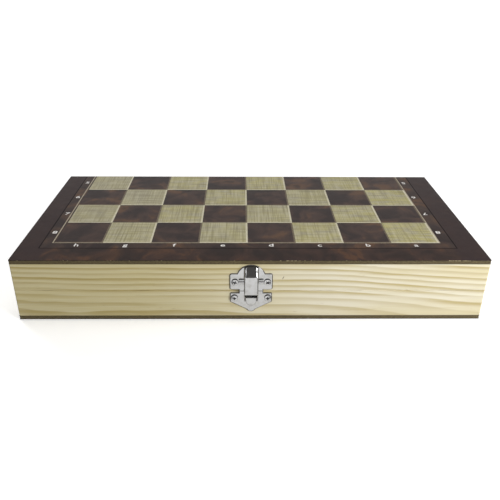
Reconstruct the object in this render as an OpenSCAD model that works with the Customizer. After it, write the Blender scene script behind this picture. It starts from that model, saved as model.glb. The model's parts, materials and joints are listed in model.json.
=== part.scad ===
// Folding wooden games box. Two equal halves, each a printed fibreboard panel on four pine rails,
// turn on two butt hinges at the back and are held shut by a sprung latch at the front.
// Opened flat, the outsides make a chessboard and the insides a backgammon board.
// Millimetres. The origin is the centre of the underside; +X runs along the box, -Y faces the latch
// and +Z is up.

/* [Box] */
// Length of the box, which is also the side of the open board
box_l = 290; // [240:1:400]
// Width of the closed box
box_w = 145; // [120:1:200]
// Height of one half, from its printed face to its rim
half_h = 21; // [21:0.5:30]
// Thickness of the pine rails
rail_t = 9; // [9:0.5:14]
// Radius of the four upright corners
corner_r = 1; // [0.5:0.1:3]
// Bevel along the outer edges of the rims, where the halves meet
rim_bevel = 0.3; // [0.1:0.05:0.5]

/* [Printed boards] */
// Thickness of the fibreboard panels
panel_t = 2.4; // [2:0.1:4]
// Thickness of the printed sheets glued to both faces of a panel
print_t = 0.15; // [0.1:0.05:0.3]

/* [Hinges] */
// Distance of each hinge from the middle of the box
hinge_x = 88; // [40:1:100]
// Length of a hinge
hinge_len = 25; // [20:1:36]
// Width of a leaf, measured from the hinge axis
leaf_w = 8; // [6.5:0.5:8.5]
// Sheet thickness of a leaf
leaf_t = 0.7; // [0.5:0.1:0.8]
// Outer radius of the knuckles
knuckle_r = 1.5; // [1.4:0.1:1.8]
// Radius of the hinge pins
hinge_pin_r = 0.7; // [0.5:0.05:0.75]
// How far the hinge axis stands behind the back face
axis_out = 0.15; // [0.1:0.05:0.4]

/* [Latch] */
// Where the latch sits along the front, from the middle
latch_x = 0; // [-60:1:60]
// Sheet thickness of the plates and the lever
sheet_t = 0.65; // [0.5:0.05:0.7]
// Half the width of the upper plate across its wings
upper_half_w = 13.2; // [12.5:0.1:15]
// Radius of the upper plate's round crown
crown_r = 9; // [8.5:0.1:9]
// Half the width of the lower plate
lower_half_w = 13; // [12.7:0.1:15]
// Half the width of the lever
lever_half_w = 4.3; // [4:0.1:4.4]
// How far the lever's flat face stands in front of the box
lever_out = 5; // [4.8:0.1:6]
// Radius of the lever's pin
latch_pin_r = 0.7; // [0.5:0.05:0.75]
// Turns of the lever's spring
spring_turns = 4; // [3:1:5]

/* [Screws] */
// Radius of the latch screws' heads
pan_head_r = 2.2; // [1.8:0.1:2.3]
// Radius of the screws' shanks
shank_r = 0.95; // [0.8:0.05:1]

/* [Hidden] */
$fn = 64;

// Colours of the finishes
pine = "#e3d9b6";
fibreboard = "#5f553a";
dark_burl = "#4a352f";
olive = "#a5a082";
nickel = "#c9c9cc";

// A margin for cuts that run past a face
cut = 1;

// The stack of sheets that makes a floor, and the rails that stand on it
floor_t = panel_t + 2 * print_t;
rail_h = half_h - floor_t;
front_y = -box_w / 2;
back_y = box_w / 2;

// Hinge sizes. The frame of a hinge has its origin on the axis, with -Y into the box.
hinge_axis_y = back_y + axis_out;
knuckles = 5;
knuckle_gap = 0.15;
knuckle_len = (hinge_len - (knuckles - 1) * knuckle_gap) / knuckles;
leaf_clear = 0.05;
running_r = hinge_pin_r + 0.05;
held_r = hinge_pin_r + 0.02;
pin_cap_r = hinge_pin_r + 0.35;
pin_cap_t = 0.5;
notch_r = knuckle_r + 0.25;
notch_len = hinge_len + 2 * pin_cap_t + 1.4;
recess_clear = 0.1;
hinge_screw_x = 7.5;
hinge_screw_y = -leaf_w * 0.6;
hinge_screw_len = 8;
sunk_head_r = 1.7;

// Latch sizes, in a frame on the front face at the seam: X along the box, Z up, and "out" forwards
wing_top = 12.2;
wing_bottom = 0.8;
wing_r = 1.4;
crown_z = 9.1;
tongue_half_w = 7.5;
tongue_gap = 0.15;
upper_screw_x = 9.9;
upper_screw_z = 6.3;
lower_top = -1.3;
lower_side = -7.8;
lower_slant_x = 2.7;
lower_slant_z = -13.4;
lower_bump_r = 3.1;
lower_bump_z = -11.9;
lower_r = 0.8;
lower_screw_x = 10.3;
lower_screw_z = -4.9;
pivot_z = 6.9;
ear_r = 1.3;
pivot_out = ear_r + 0.1;
pivot_bore_r = latch_pin_r + 0.05;
roll_r = pivot_out - 0.05;
window_half_w = lever_half_w + 0.15;
window_bottom = pivot_z - 1.9;
window_top = 15;
latch_screw_len = 7.6;
pan_head_t = 1.2;
pan_dome_r = 3.2;
pilot_clear = 0.02;

// The lever's side view, as [out, z]: its face from the top end, over the flat, down to the tab
lever_top = [2.9, 17.9];
flat_top = [lever_out, 11.3];
flat_bottom = [lever_out, -0.1];
tab_top = [2.4, -4.3];
tab_end = [2.4, -9.6];
wall_clear = 0.3;
wall_back = sheet_t + wall_clear;
wall_top_back = 2.35;
wall_above_ear = [1.25, 9.2];
tab_half_w = 3.3;
lever_top_r = 2.4;
neck_z = -3.6;
neck_end_z = -5.2;

// The catch on the lower plate, behind the lever, as [out, z]
catch_out = 1.6;
catch_top_z = -1.7;
catch_lip_z = -3.3;
catch_end_z = -4;
catch_w = 5;

// The spring, wound round the lever's pin with a leg at each end
wire_r = 0.22;
coil_r = 1.05;
coil_w = 6;
coil_steps = 24;
coil_sides = 8;
leg_len = 7;
leg_steps = 4;
coil_start = 180;
coil_turn = 360 * spring_turns + 178;
coil_pitch = coil_w / (coil_turn / 360);
coil_rings = floor(coil_turn / 360 * coil_steps);

// Helpers for outlines that follow a bent sheet
function unit(v) = v / norm(v);
function right_of(v) = [v[1], -v[0]];
function cross2(a, b) = a[0] * b[1] - a[1] * b[0];
// Where the line a-b, moved by t to its right, meets the line b-c moved the same way
function inset(a, b, c, t) =
    let (
        d1 = unit(b - a),
        d2 = unit(c - b),
        p1 = b + t * right_of(d1),
        p2 = b + t * right_of(d2),
        s = cross2(p2 - p1, d2) / cross2(d1, d2)
    ) p1 + s * d1;
// Where the line through a and b reaches the height z
function at_height(a, b, z) = a + (b - a) * (z - a[1]) / (b[1] - a[1]);

// Plan of the box, with its corners rounded by true arcs
module box_plan() {
    square([box_l, box_w - 2 * corner_r], center = true);
    square([box_l - 2 * corner_r, box_w], center = true);
    for (x = [-1, 1], y = [-1, 1])
        translate([x * (box_l / 2 - corner_r), y * (box_w / 2 - corner_r)]) circle(r = corner_r);
}

// A rounded rectangle between two corners
module rounded_rect(low, high, r) {
    translate([low[0] + r, low[1]]) square([high[0] - low[0] - 2 * r, high[1] - low[1]]);
    translate([low[0], low[1] + r]) square([high[0] - low[0], high[1] - low[1] - 2 * r]);
    for (x = [low[0] + r, high[0] - r], y = [low[1] + r, high[1] - r])
        translate([x, y]) circle(r = r);
}

// A strip whose two upper corners are round
module round_topped(half_w, low, high, r) {
    translate([-half_w, low]) square([2 * half_w, high - r - low]);
    translate([-half_w + r, low]) square([2 * (half_w - r), high - low]);
    for (side = [-1, 1])
        translate([side * (half_w - r), high - r]) circle(r = r);
}

// The upper half is the lower one turned over about the seam
module as_upper() {
    translate([0, 0, 2 * half_h]) mirror([0, 0, 1]) children();
}

// One printed sheet or panel of the lower half
module floor_sheet(z, thickness) {
    translate([0, 0, z]) linear_extrude(thickness) box_plan();
}

module outer_print() {
    color(dark_burl) floor_sheet(0, print_t);
}

module board_panel() {
    color(fibreboard) floor_sheet(print_t, panel_t);
}

module inner_print() {
    color(olive) floor_sheet(print_t + panel_t, print_t);
}

// The bevel cut along the outer edge of a rim, on the side that faces +Y, for a rim of this length
module rim_bevel_cut(length) {
    rotate([90, 0, 90]) linear_extrude(length + 2 * cut, center = true)
        polygon([[cut, cut], [cut, -rim_bevel - cut], [-rim_bevel - cut, cut]]);
}

// Everything that the rails of a half share: the plan's corners and the bevels of the rim
module rail_ring(low, high) {
    difference() {
        translate([0, 0, floor_t]) linear_extrude(rail_h) intersection() {
            box_plan();
            translate(low) square(high - low);
        }
        for (side = [0, 180]) rotate([0, 0, side]) {
            translate([0, box_w / 2, half_h]) rim_bevel_cut(box_l);
            rotate([0, 0, 90]) translate([0, box_l / 2, half_h]) rim_bevel_cut(box_w);
        }
    }
}

// A long front rail with the pilot holes of its two latch screws
module front_rail(screw_x, screw_z) {
    color(pine) difference() {
        rail_ring([-box_l / 2, front_y], [box_l / 2, front_y + rail_t]);
        for (side = [-1, 1])
            translate([latch_x + side * screw_x, front_y - cut, half_h + screw_z]) rotate([-90, 0, 0])
                cylinder(r = shank_r + pilot_clear, h = latch_screw_len + cut + pilot_clear);
    }
}

// A long back rail, let in for both hinges
module back_rail() {
    color(pine) difference() {
        rail_ring([-box_l / 2, back_y - rail_t], [box_l / 2, back_y]);
        for (side = [-1, 1])
            translate([side * hinge_x, hinge_axis_y, half_h]) hinge_seat();
    }
}

// A short rail at an end, between the long ones
module side_rail(side) {
    inner = box_l / 2 - rail_t;
    low_x = side < 0 ? -box_l / 2 : inner;
    color(pine) rail_ring([low_x, front_y + rail_t], [low_x + rail_t, back_y - rail_t]);
}

// What a hinge takes out of the lower rim: the leaf's recess, room for the knuckles and two pilots
module hinge_seat() {
    seat_len = hinge_len + 2 * recess_clear;
    translate([-seat_len / 2, -leaf_w - recess_clear, -leaf_t - leaf_clear])
        cube([seat_len, leaf_w + recess_clear + cut, leaf_t + leaf_clear + cut]);
    rotate([0, 90, 0]) cylinder(r = notch_r, h = notch_len, center = true);
    for (x = [-1, 1])
        translate([x * hinge_screw_x, hinge_screw_y, -hinge_screw_len - pilot_clear])
            cylinder(r = shank_r + pilot_clear, h = hinge_screw_len);
}

// Start of a knuckle along the hinge axis
function knuckle_at(i) = -hinge_len / 2 + i * (knuckle_len + knuckle_gap);

// The lower leaf of a hinge, with the knuckles of this list
module leaf(which, bore_r) {
    plate_back = -knuckle_r - 0.2;
    web_back = -bore_r - 0.3;
    color(nickel) difference() {
        union() {
            translate([-hinge_len / 2, -leaf_w, -leaf_t - leaf_clear])
                cube([hinge_len, leaf_w + plate_back, leaf_t]);
            for (i = which) translate([knuckle_at(i), 0, 0]) {
                rotate([0, 90, 0]) cylinder(r = knuckle_r, h = knuckle_len);
                translate([0, plate_back - cut, -leaf_t - leaf_clear])
                    cube([knuckle_len, web_back - plate_back + cut, leaf_t]);
            }
        }
        rotate([0, 90, 0]) cylinder(r = bore_r, h = hinge_len + 2 * cut, center = true);
        for (x = [-1, 1]) translate([x * hinge_screw_x, hinge_screw_y, -leaf_t - leaf_clear]) {
            translate([0, 0, -cut]) cylinder(r = shank_r + 0.05, h = leaf_t + 2 * cut);
            cylinder(r1 = shank_r + 0.05, r2 = sunk_head_r + 0.05, h = leaf_t);
        }
    }
}

// A countersunk screw of a hinge leaf, its head down in the leaf
module sunk_screw() {
    head_h = leaf_t - 0.03;
    color(nickel) difference() {
        union() {
            translate([0, 0, -leaf_t - leaf_clear]) cylinder(r1 = shank_r, r2 = sunk_head_r, h = head_h);
            translate([0, 0, -hinge_screw_len]) cylinder(r = shank_r, h = hinge_screw_len - leaf_t - leaf_clear);
        }
        cross_recess(1.9, 0.45, 0.5, -leaf_clear - 0.03);
    }
}

// The two crossed slots of a screw's drive, cut down from the height z
module cross_recess(length, width, depth, z) {
    for (turn = [0, 90]) rotate([0, 0, turn])
        translate([-length / 2, -width / 2, z - depth]) cube([length, width, depth + cut]);
}

// The hinge pin, its ends spread over the outer knuckles
module hinge_pin() {
    color(nickel) rotate([0, 90, 0]) {
        cylinder(r = hinge_pin_r, h = hinge_len + 0.1, center = true);
        for (side = [-1, 1]) translate([0, 0, side * (hinge_len / 2 + 0.05 + pin_cap_t / 2)])
            cylinder(r = pin_cap_r, h = pin_cap_t, center = true);
    }
}

module at_hinge(side) {
    translate([side * hinge_x, hinge_axis_y, half_h]) children();
}

module hinge_lower_leaf(side) {
    at_hinge(side) leaf([0, 2, 4], held_r);
}

module hinge_upper_leaf(side) {
    as_upper() at_hinge(side) leaf([1, 3], running_r);
}

module hinge_screws() {
    for (side = [-1, 1], x = [-1, 1]) at_hinge(side)
        translate([x * hinge_screw_x, hinge_screw_y, 0]) sunk_screw();
}

// The frame of the latch, on the front face at the seam
module on_front() {
    translate([latch_x, front_y, half_h]) children();
}

// Stands a front view up on the front face, with this thickness forwards
module front_view(thickness) {
    rotate([90, 0, 0]) linear_extrude(thickness) children();
}

// Stands a side view, drawn as [out, z], across the middle of the latch
module side_view(width) {
    rotate([90, 0, -90]) linear_extrude(width, center = true) children();
}

// The pin's axis, as a row of cylinders along X about the pivot
module along_pivot(r, from, to) {
    translate([from, -pivot_out, pivot_z]) rotate([0, 90, 0]) cylinder(r = r, h = to - from);
}

module upper_plate_outline() {
    rounded_rect([-upper_half_w, wing_bottom], [upper_half_w, wing_top], wing_r);
    intersection() {
        translate([0, crown_z]) circle(r = crown_r);
        translate([-crown_r, crown_z]) square([2 * crown_r, crown_r]);
    }
    translate([-tongue_half_w, tongue_gap]) square([2 * tongue_half_w, wing_top - tongue_gap]);
}

// The upper plate: two wings, a round crown, a window behind the lever and two rolls for its pin
module latch_upper_plate() {
    color(nickel) on_front() difference() {
        union() {
            front_view(sheet_t) difference() {
                upper_plate_outline();
                translate([-window_half_w, window_bottom])
                    square([2 * window_half_w, window_top - window_bottom]);
            }
            for (side = [-1, 1])
                along_pivot(roll_r, side < 0 ? -tongue_half_w : window_half_w,
                    side < 0 ? -window_half_w : tongue_half_w);
        }
        along_pivot(pivot_bore_r, -tongue_half_w - cut, tongue_half_w + cut);
        for (side = [-1, 1]) translate([side * upper_screw_x, cut, upper_screw_z])
            rotate([90, 0, 0]) cylinder(r = shank_r + 0.1, h = sheet_t + 2 * cut);
    }
}

module lower_plate_outline() {
    round_topped(lower_half_w, lower_side, lower_top, lower_r);
    polygon([
        [-lower_half_w, lower_side], [-lower_slant_x, lower_slant_z],
        [lower_slant_x, lower_slant_z], [lower_half_w, lower_side]
    ]);
    translate([0, lower_bump_z]) circle(r = lower_bump_r);
    translate([-tongue_half_w, lower_side]) square([2 * tongue_half_w, -lower_side - tongue_gap]);
}

// The lower plate, with the catch that stands up behind the lever
module latch_lower_plate() {
    color(nickel) on_front() difference() {
        union() {
            front_view(sheet_t) lower_plate_outline();
            side_view(catch_w) polygon([
                [0, catch_top_z], [sheet_t, catch_top_z], [catch_out, catch_lip_z],
                [catch_out, catch_end_z], [0, catch_end_z]
            ]);
        }
        for (side = [-1, 1]) translate([side * lower_screw_x, cut, lower_screw_z])
            rotate([90, 0, 0]) cylinder(r = shank_r + 0.1, h = sheet_t + 2 * cut);
    }
}

// Front view of the lever: round shoulders at the top and a narrower tab with a round end
module lever_outline() {
    round_topped(lever_half_w, neck_z, lever_top[1], lever_top_r);
    polygon([
        [-lever_half_w, neck_z], [-tab_half_w, neck_end_z],
        [tab_half_w, neck_end_z], [lever_half_w, neck_z]
    ]);
    translate([-tab_half_w, tab_end[1] + tab_half_w])
        square([2 * tab_half_w, neck_end_z - tab_end[1] - tab_half_w]);
    translate([0, tab_end[1] + tab_half_w]) circle(r = tab_half_w);
}

// Inner corners of the lever's bent sheet
inner_flat_top = inset(lever_top, flat_top, flat_bottom, sheet_t);
inner_flat_bottom = inset(flat_top, flat_bottom, tab_top, sheet_t);
inner_tab_top = inset(flat_bottom, tab_top, tab_end, sheet_t);
inner_top = at_height(inner_flat_top, inner_flat_top + lever_top - flat_top, lever_top[1] - sheet_t);

// The lever: a bent strip with side walls, ears round the pin and a tab to pull
module latch_lever() {
    color(nickel) on_front() difference() {
        intersection() {
            union() {
                side_view(2 * lever_half_w) polygon([
                    lever_top, flat_top, flat_bottom, tab_top, tab_end, [tab_end[0] - sheet_t, tab_end[1]],
                    inner_tab_top, [wall_back, inner_tab_top[1] + 1], [wall_back, pivot_z],
                    wall_above_ear, [wall_top_back, lever_top[1]]
                ]);
                along_pivot(ear_r, -lever_half_w, lever_half_w);
            }
            front_view(lever_out + cut) lever_outline();
        }
        side_view(2 * (lever_half_w - sheet_t)) polygon([
            inner_top, inner_flat_top, inner_flat_bottom, inner_tab_top,
            [-cut, inner_tab_top[1]], [-cut, inner_top[1]]
        ]);
        along_pivot(pivot_bore_r, -lever_half_w - cut, lever_half_w + cut);
    }
}

// The lever's pin, held at both ends in the rolls of the upper plate
module latch_pin() {
    color(nickel) on_front() along_pivot(latch_pin_r, -tongue_half_w + 0.1, tongue_half_w - 0.1);
}

// Centre of the spring's wire at a share of its winding, as [x, y, z]
function coil_point(turned) =
    let (a = coil_start + turned)
    [-coil_w / 2 + coil_pitch * turned / 360, -pivot_out - coil_r * cos(a), pivot_z + coil_r * sin(a)];
// The way out from the pin at that point, which also turns the wire's section
function coil_out(turned) = let (a = coil_start + turned) [0, -cos(a), sin(a)];
function coil_way(turned) = let (a = coil_start + turned) [0, sin(a), cos(a)];

// The route of the wire: a leg, the winding, a leg. Each entry is [centre, way out, way on].
coil_route = concat(
    [for (i = [leg_steps:-1:1]) [coil_point(0) - coil_way(0) * leg_len * i / leg_steps, coil_out(0), coil_way(0)]],
    [for (i = [0:coil_rings])
        let (turned = coil_turn * i / coil_rings)
        [coil_point(turned), coil_out(turned), coil_way(turned)]],
    [for (i = [1:leg_steps]) [coil_point(coil_turn) + coil_way(coil_turn) * leg_len * i / leg_steps,
        coil_out(coil_turn), coil_way(coil_turn)]]
);

// The least gap of the wire to itself, measured between points half a turn or more apart
spring_gap = min([for (i = [0:len(coil_route) - 1], j = [i + coil_steps / 2:len(coil_route) - 1])
    norm(coil_route[i][0] - coil_route[j][0])]) - 2 * wire_r;
echo(spring_gap = spring_gap);

// One unbroken tube along the route
module latch_spring() {
    rings = len(coil_route);
    points = [for (r = coil_route, s = [0:coil_sides - 1])
        let (a = 360 * s / coil_sides) r[0] + wire_r * (cos(a) * r[1] + sin(a) * cross(r[2], r[1]))];
    sides = [for (i = [0:rings - 2], s = [0:coil_sides - 1])
        let (
            a = i * coil_sides + s,
            b = i * coil_sides + (s + 1) % coil_sides,
            c = b + coil_sides,
            d = a + coil_sides
        ) each [[a, c, b], [a, d, c]]];
    first = [for (s = [0:coil_sides - 1]) s];
    last = [for (s = [coil_sides - 1:-1:0]) (rings - 1) * coil_sides + s];
    color(nickel) on_front() polyhedron(points = points, faces = concat([first], sides, [last]));
}

// A pan-headed screw standing out of a plate on the front face
module pan_screw() {
    color(nickel) difference() {
        union() {
            translate([0, 0, sheet_t]) intersection() {
                cylinder(r = pan_head_r, h = pan_head_t);
                translate([0, 0, pan_head_t - pan_dome_r]) sphere(r = pan_dome_r);
            }
            translate([0, 0, -latch_screw_len]) cylinder(r = shank_r, h = latch_screw_len + sheet_t);
        }
        cross_recess(2.6, 0.6, 0.8, sheet_t + pan_head_t);
    }
}

module latch_screws(screw_x, screw_z) {
    on_front() for (side = [-1, 1])
        translate([side * screw_x, 0, screw_z]) rotate([90, 0, 0]) pan_screw();
}

outer_print();  // lower_outer_print
board_panel();  // lower_board_panel
inner_print();  // lower_inner_print
front_rail(lower_screw_x, lower_screw_z);  // lower_front_rail
back_rail();  // lower_back_rail
side_rail(-1);  // lower_left_rail
side_rail(1);  // lower_right_rail
as_upper() outer_print();  // upper_outer_print
as_upper() board_panel();  // upper_board_panel
as_upper() inner_print();  // upper_inner_print
as_upper() front_rail(upper_screw_x, -upper_screw_z);  // upper_front_rail
as_upper() back_rail();  // upper_back_rail
as_upper() side_rail(-1);  // upper_left_rail
as_upper() side_rail(1);  // upper_right_rail
hinge_lower_leaf(-1);  // hinge_left_lower_leaf
hinge_upper_leaf(-1);  // hinge_left_upper_leaf
at_hinge(-1) hinge_pin();  // hinge_left_pin
hinge_lower_leaf(1);  // hinge_right_lower_leaf
hinge_upper_leaf(1);  // hinge_right_upper_leaf
at_hinge(1) hinge_pin();  // hinge_right_pin
hinge_screws();  // hinge_lower_screws
as_upper() hinge_screws();  // hinge_upper_screws
latch_upper_plate();
latch_lower_plate();
latch_lever();
latch_pin();
latch_spring();
latch_screws(upper_screw_x, upper_screw_z);  // latch_upper_screws
latch_screws(lower_screw_x, lower_screw_z);  // latch_lower_screws
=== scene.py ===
"""Finish and surface detail of a folding wooden games box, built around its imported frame.

The closed box carries a chessboard on its outsides and a backgammon board on its insides. Lengths are
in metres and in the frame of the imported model: +X runs along the box, -Y faces the latch and +Z is up.
"""

from __future__ import annotations

import json
import logging
import math
from collections.abc import Mapping, Sequence
from dataclasses import dataclass
from enum import Enum, IntEnum

import bmesh
import bpy
from mathutils import Matrix, Vector


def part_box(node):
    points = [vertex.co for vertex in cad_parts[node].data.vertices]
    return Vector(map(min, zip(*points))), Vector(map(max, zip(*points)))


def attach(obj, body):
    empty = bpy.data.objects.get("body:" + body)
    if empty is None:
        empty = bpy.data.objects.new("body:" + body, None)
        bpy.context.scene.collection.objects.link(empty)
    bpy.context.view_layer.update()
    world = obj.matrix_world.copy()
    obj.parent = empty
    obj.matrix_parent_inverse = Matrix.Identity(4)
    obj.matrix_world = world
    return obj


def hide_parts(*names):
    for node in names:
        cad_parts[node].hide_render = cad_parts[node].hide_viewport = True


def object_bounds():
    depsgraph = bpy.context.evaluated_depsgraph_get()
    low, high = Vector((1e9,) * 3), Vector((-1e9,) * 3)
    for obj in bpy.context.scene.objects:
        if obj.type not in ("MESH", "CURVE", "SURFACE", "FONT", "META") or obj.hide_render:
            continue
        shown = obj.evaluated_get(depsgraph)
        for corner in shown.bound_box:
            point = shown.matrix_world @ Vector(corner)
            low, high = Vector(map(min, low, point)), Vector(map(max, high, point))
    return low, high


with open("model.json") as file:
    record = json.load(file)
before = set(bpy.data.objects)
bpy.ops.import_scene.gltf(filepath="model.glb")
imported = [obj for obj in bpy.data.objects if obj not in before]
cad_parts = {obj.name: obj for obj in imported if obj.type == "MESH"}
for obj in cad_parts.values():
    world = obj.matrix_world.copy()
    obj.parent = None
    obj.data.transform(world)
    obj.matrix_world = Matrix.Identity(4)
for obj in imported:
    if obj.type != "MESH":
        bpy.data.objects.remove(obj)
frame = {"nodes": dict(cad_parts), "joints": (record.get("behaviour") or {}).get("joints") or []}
CAD_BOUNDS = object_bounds()

LOG = logging.getLogger("games_box")
MM = 0.001
WHITE = (1.0, 1.0, 1.0, 1.0)
SAME_PLACE = 0.001 * MM
EDGE_WEIGHT = "bevel_weight_edge"

Socket = bpy.types.NodeSocket
Object = bpy.types.Object
Material = bpy.types.Material
Pair = tuple[float, float]
Triple = tuple[float, float, float]
Finishes = Mapping[str, Material]
Value = float | int | bool | str | Sequence[float] | Socket | Material | Object


class Half(Enum):
    """The two halves of the box."""

    LOWER = "lower"
    UPPER = "upper"

    @property
    def body(self) -> str:
        """The body that everything fixed to this half rides on."""
        return f"{self.value}_half"

    @property
    def faces_up(self) -> bool:
        """Whether the half's printed outside looks up when the box is closed."""
        return self is Half.UPPER


class Grain(Enum):
    """Which way the grain of a rail runs."""

    ALONG_X = 0
    ALONG_Y = 1


class Band(IntEnum):
    """The bands of the chess print, from the edge of the board to its squares."""

    BORDER = 0
    DARK_LINE = 1
    LABELS = 2
    PALE_LINE = 3
    DARK_STRIP = 4
    FIELD = 5


class Head(Enum):
    """The two kinds of screw head on the box."""

    PAN = "pan"
    SUNK = "sunk"


def hex_colour(code: str) -> tuple[float, float, float, float]:
    """Turns a colour such as #e8dfc0 into the linear values that Blender works in, by the sRGB formula.

    Args:
        code: Six hexadecimal digits after a hash.

    Returns:
        Red, green, blue and an alpha of 1.
    """
    shares = [int(code[i:i + 2], 16) / 255 for i in (1, 3, 5)]
    linear = [s / 12.92 if s <= 0.04045 else ((s + 0.055) / 1.055) ** 2.4 for s in shares]
    return (*linear, 1.0)


class Graph:
    """Writes the nodes of one tree, so that a pattern reads as a list of steps."""

    def __init__(self, tree: bpy.types.NodeTree) -> None:
        """Starts on this tree."""
        self.tree = tree

    def add(self, kind: str, inputs: Mapping[str | int, Value] | None = None,
            **settings: Value) -> bpy.types.Node:
        """Adds a node.

        Args:
            kind: Blender's name for the type of node.
            inputs: What goes into its sockets, by name or number: a constant, or another node's socket.
            settings: Properties of the node itself.

        Returns:
            The new node.
        """
        node = self.tree.nodes.new(kind)
        for name, value in settings.items():
            setattr(node, name, value)
        for key, value in (inputs or {}).items():
            if isinstance(value, Socket):
                self.tree.links.new(value, node.inputs[key])
            else:
                node.inputs[key].default_value = value
        return node

    def out(self, kind: str, inputs: Mapping[str | int, Value] | None = None, **settings: Value) -> Socket:
        """Adds a node, as add does, and returns its first output."""
        return self.add(kind, inputs, **settings).outputs[0]

    def math(self, operation: str, a: Value, b: Value = 0.0, c: Value = 0.0) -> Socket:
        """The result of a sum on numbers, such as MULTIPLY or FLOOR."""
        return self.out("ShaderNodeMath", {0: a, 1: b, 2: c}, operation=operation)

    def times(self, a: Value, b: Value) -> Socket:
        """The product of two numbers."""
        return self.math("MULTIPLY", a, b)

    def plus(self, a: Value, b: Value) -> Socket:
        """The sum of two numbers."""
        return self.math("ADD", a, b)

    def minus(self, a: Value, b: Value) -> Socket:
        """The first number less the second."""
        return self.math("SUBTRACT", a, b)

    def over(self, a: Value, b: Value) -> Socket:
        """The first number divided by the second."""
        return self.math("DIVIDE", a, b)

    def times_plus(self, a: Value, b: Value, c: Value) -> Socket:
        """The product of two numbers, with a third one added."""
        return self.math("MULTIPLY_ADD", a, b, c)

    def size_of(self, a: Value) -> Socket:
        """A number without its sign."""
        return self.math("ABSOLUTE", a)

    def vector(self, operation: str, a: Value, b: Value = (0.0, 0.0, 0.0)) -> Socket:
        """The result of a sum on vectors, such as ADD or FLOOR."""
        return self.out("ShaderNodeVectorMath", {0: a, 1: b}, operation=operation)

    def scaled(self, a: Value, factor: Value) -> Socket:
        """A vector times a number."""
        return self.out("ShaderNodeVectorMath", {0: a, 3: factor}, operation="SCALE")

    def split(self, place: Socket) -> list[Socket]:
        """The X, Y and Z of a vector."""
        return list(self.add("ShaderNodeSeparateXYZ", {0: place}).outputs)

    def joined(self, x: Value, y: Value, z: Value) -> Socket:
        """The vector with this X, Y and Z."""
        return self.out("ShaderNodeCombineXYZ", {0: x, 1: y, 2: z})


class Paint(Graph):
    """The node tree of one material, with the steps that the finishes share.

    Its patterns count in millimetres.
    """

    def __init__(self, name: str) -> None:
        """Starts an empty material of this name."""
        self.material = bpy.data.materials.new(name)
        self.material.use_nodes = True
        super().__init__(self.material.node_tree)
        self.tree.nodes.clear()

    def place(self, shift: Triple = (0.0, 0.0, 0.0)) -> Socket:
        """Where on the piece a point lies, in millimetres, with the pattern moved by shift."""
        metres = self.add("ShaderNodeTexCoord").outputs["Object"]
        return self.vector("ADD", self.scaled(metres, 1 / MM), shift)

    def noise(self, place: Socket, reach: Triple, detail: float = 2.0, rough: float = 0.5) -> Socket:
        """Cloudy noise, about 0 to 1.

        Args:
            place: Where to look it up, in millimetres.
            reach: The size of its clouds along each axis, in millimetres.
            detail: How many finer layers it has.
            rough: How strong the finer layers are.

        Returns:
            The noise as a number.
        """
        where = self.vector("DIVIDE", place, reach)
        inputs = {"Vector": where, "Scale": 1.0, "Detail": detail, "Roughness": rough}
        return self.add("ShaderNodeTexNoise", inputs).outputs["Fac"]

    def rise(self, value: Value, low: float, high: float, top: float = 1.0) -> Socket:
        """A smooth step from 0 at low to top at high, which may be the lower of the two."""
        inputs = {0: value, 1: low, 2: high, 3: 0.0, 4: top}
        return self.out("ShaderNodeMapRange", inputs, interpolation_type="SMOOTHSTEP")

    def spread(self, value: Value, low: float, high: float) -> Socket:
        """A value from 0 to 1 spread out to run from low to high."""
        return self.times_plus(value, high - low, low)

    def mix(self, share: Value, a: Value, b: Value, blend: str = "MIX") -> Socket:
        """Two colours mixed by share."""
        inputs = {0: share, 6: a, 7: b}
        return self.add("ShaderNodeMix", inputs, data_type="RGBA", blend_type=blend).outputs[2]

    def between(self, share: Value, first: str, second: str) -> Socket:
        """The colour between those that two codes name, at this share of the way."""
        return self.mix(share, hex_colour(first), hex_colour(second))

    def tinted(self, colour: Value, share: Value, code: str) -> Socket:
        """A colour with this share of the colour that the code names."""
        return self.mix(share, colour, hex_colour(code))

    def ramp(self, value: Socket, stops: Sequence[tuple[float, str]]) -> Socket:
        """Turns a number into a colour.

        Args:
            value: The number, from 0 to 1.
            stops: Pairs of a number and the colour that it gets.

        Returns:
            The colour.
        """
        node = self.add("ShaderNodeValToRGB", {0: value})
        elements = node.color_ramp.elements
        elements[0].position = stops[0][0]
        elements[1].position = stops[-1][0]
        elements[0].color = hex_colour(stops[0][1])
        elements[1].color = hex_colour(stops[-1][1])
        for position, code in stops[1:-1]:
            elements.new(position).color = hex_colour(code)
        return node.outputs[0]

    def finish(self, colour: Value, roughness: Value, height: Value, relief: float, shine: float = 0.5,
               metallic: float = 0.0) -> Material:
        """Joins the patterns to the surface shader.

        Args:
            colour: The base colour.
            roughness: The roughness.
            height: The pattern of the relief, from 0 to 1.
            relief: How high the relief stands, in metres.
            shine: The shader's specular level.
            metallic: 1 for metal, and 0 for anything else.

        Returns:
            The finished material.
        """
        bump = self.out("ShaderNodeBump", {"Strength": 1.0, "Distance": relief, "Height": height})
        shader = self.out("ShaderNodeBsdfPrincipled", {
            "Base Color": colour, "Roughness": roughness, "Normal": bump, "Specular IOR Level": shine,
            "Metallic": metallic,
        })
        self.add("ShaderNodeOutputMaterial", {"Surface": shader})
        return self.material


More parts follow.
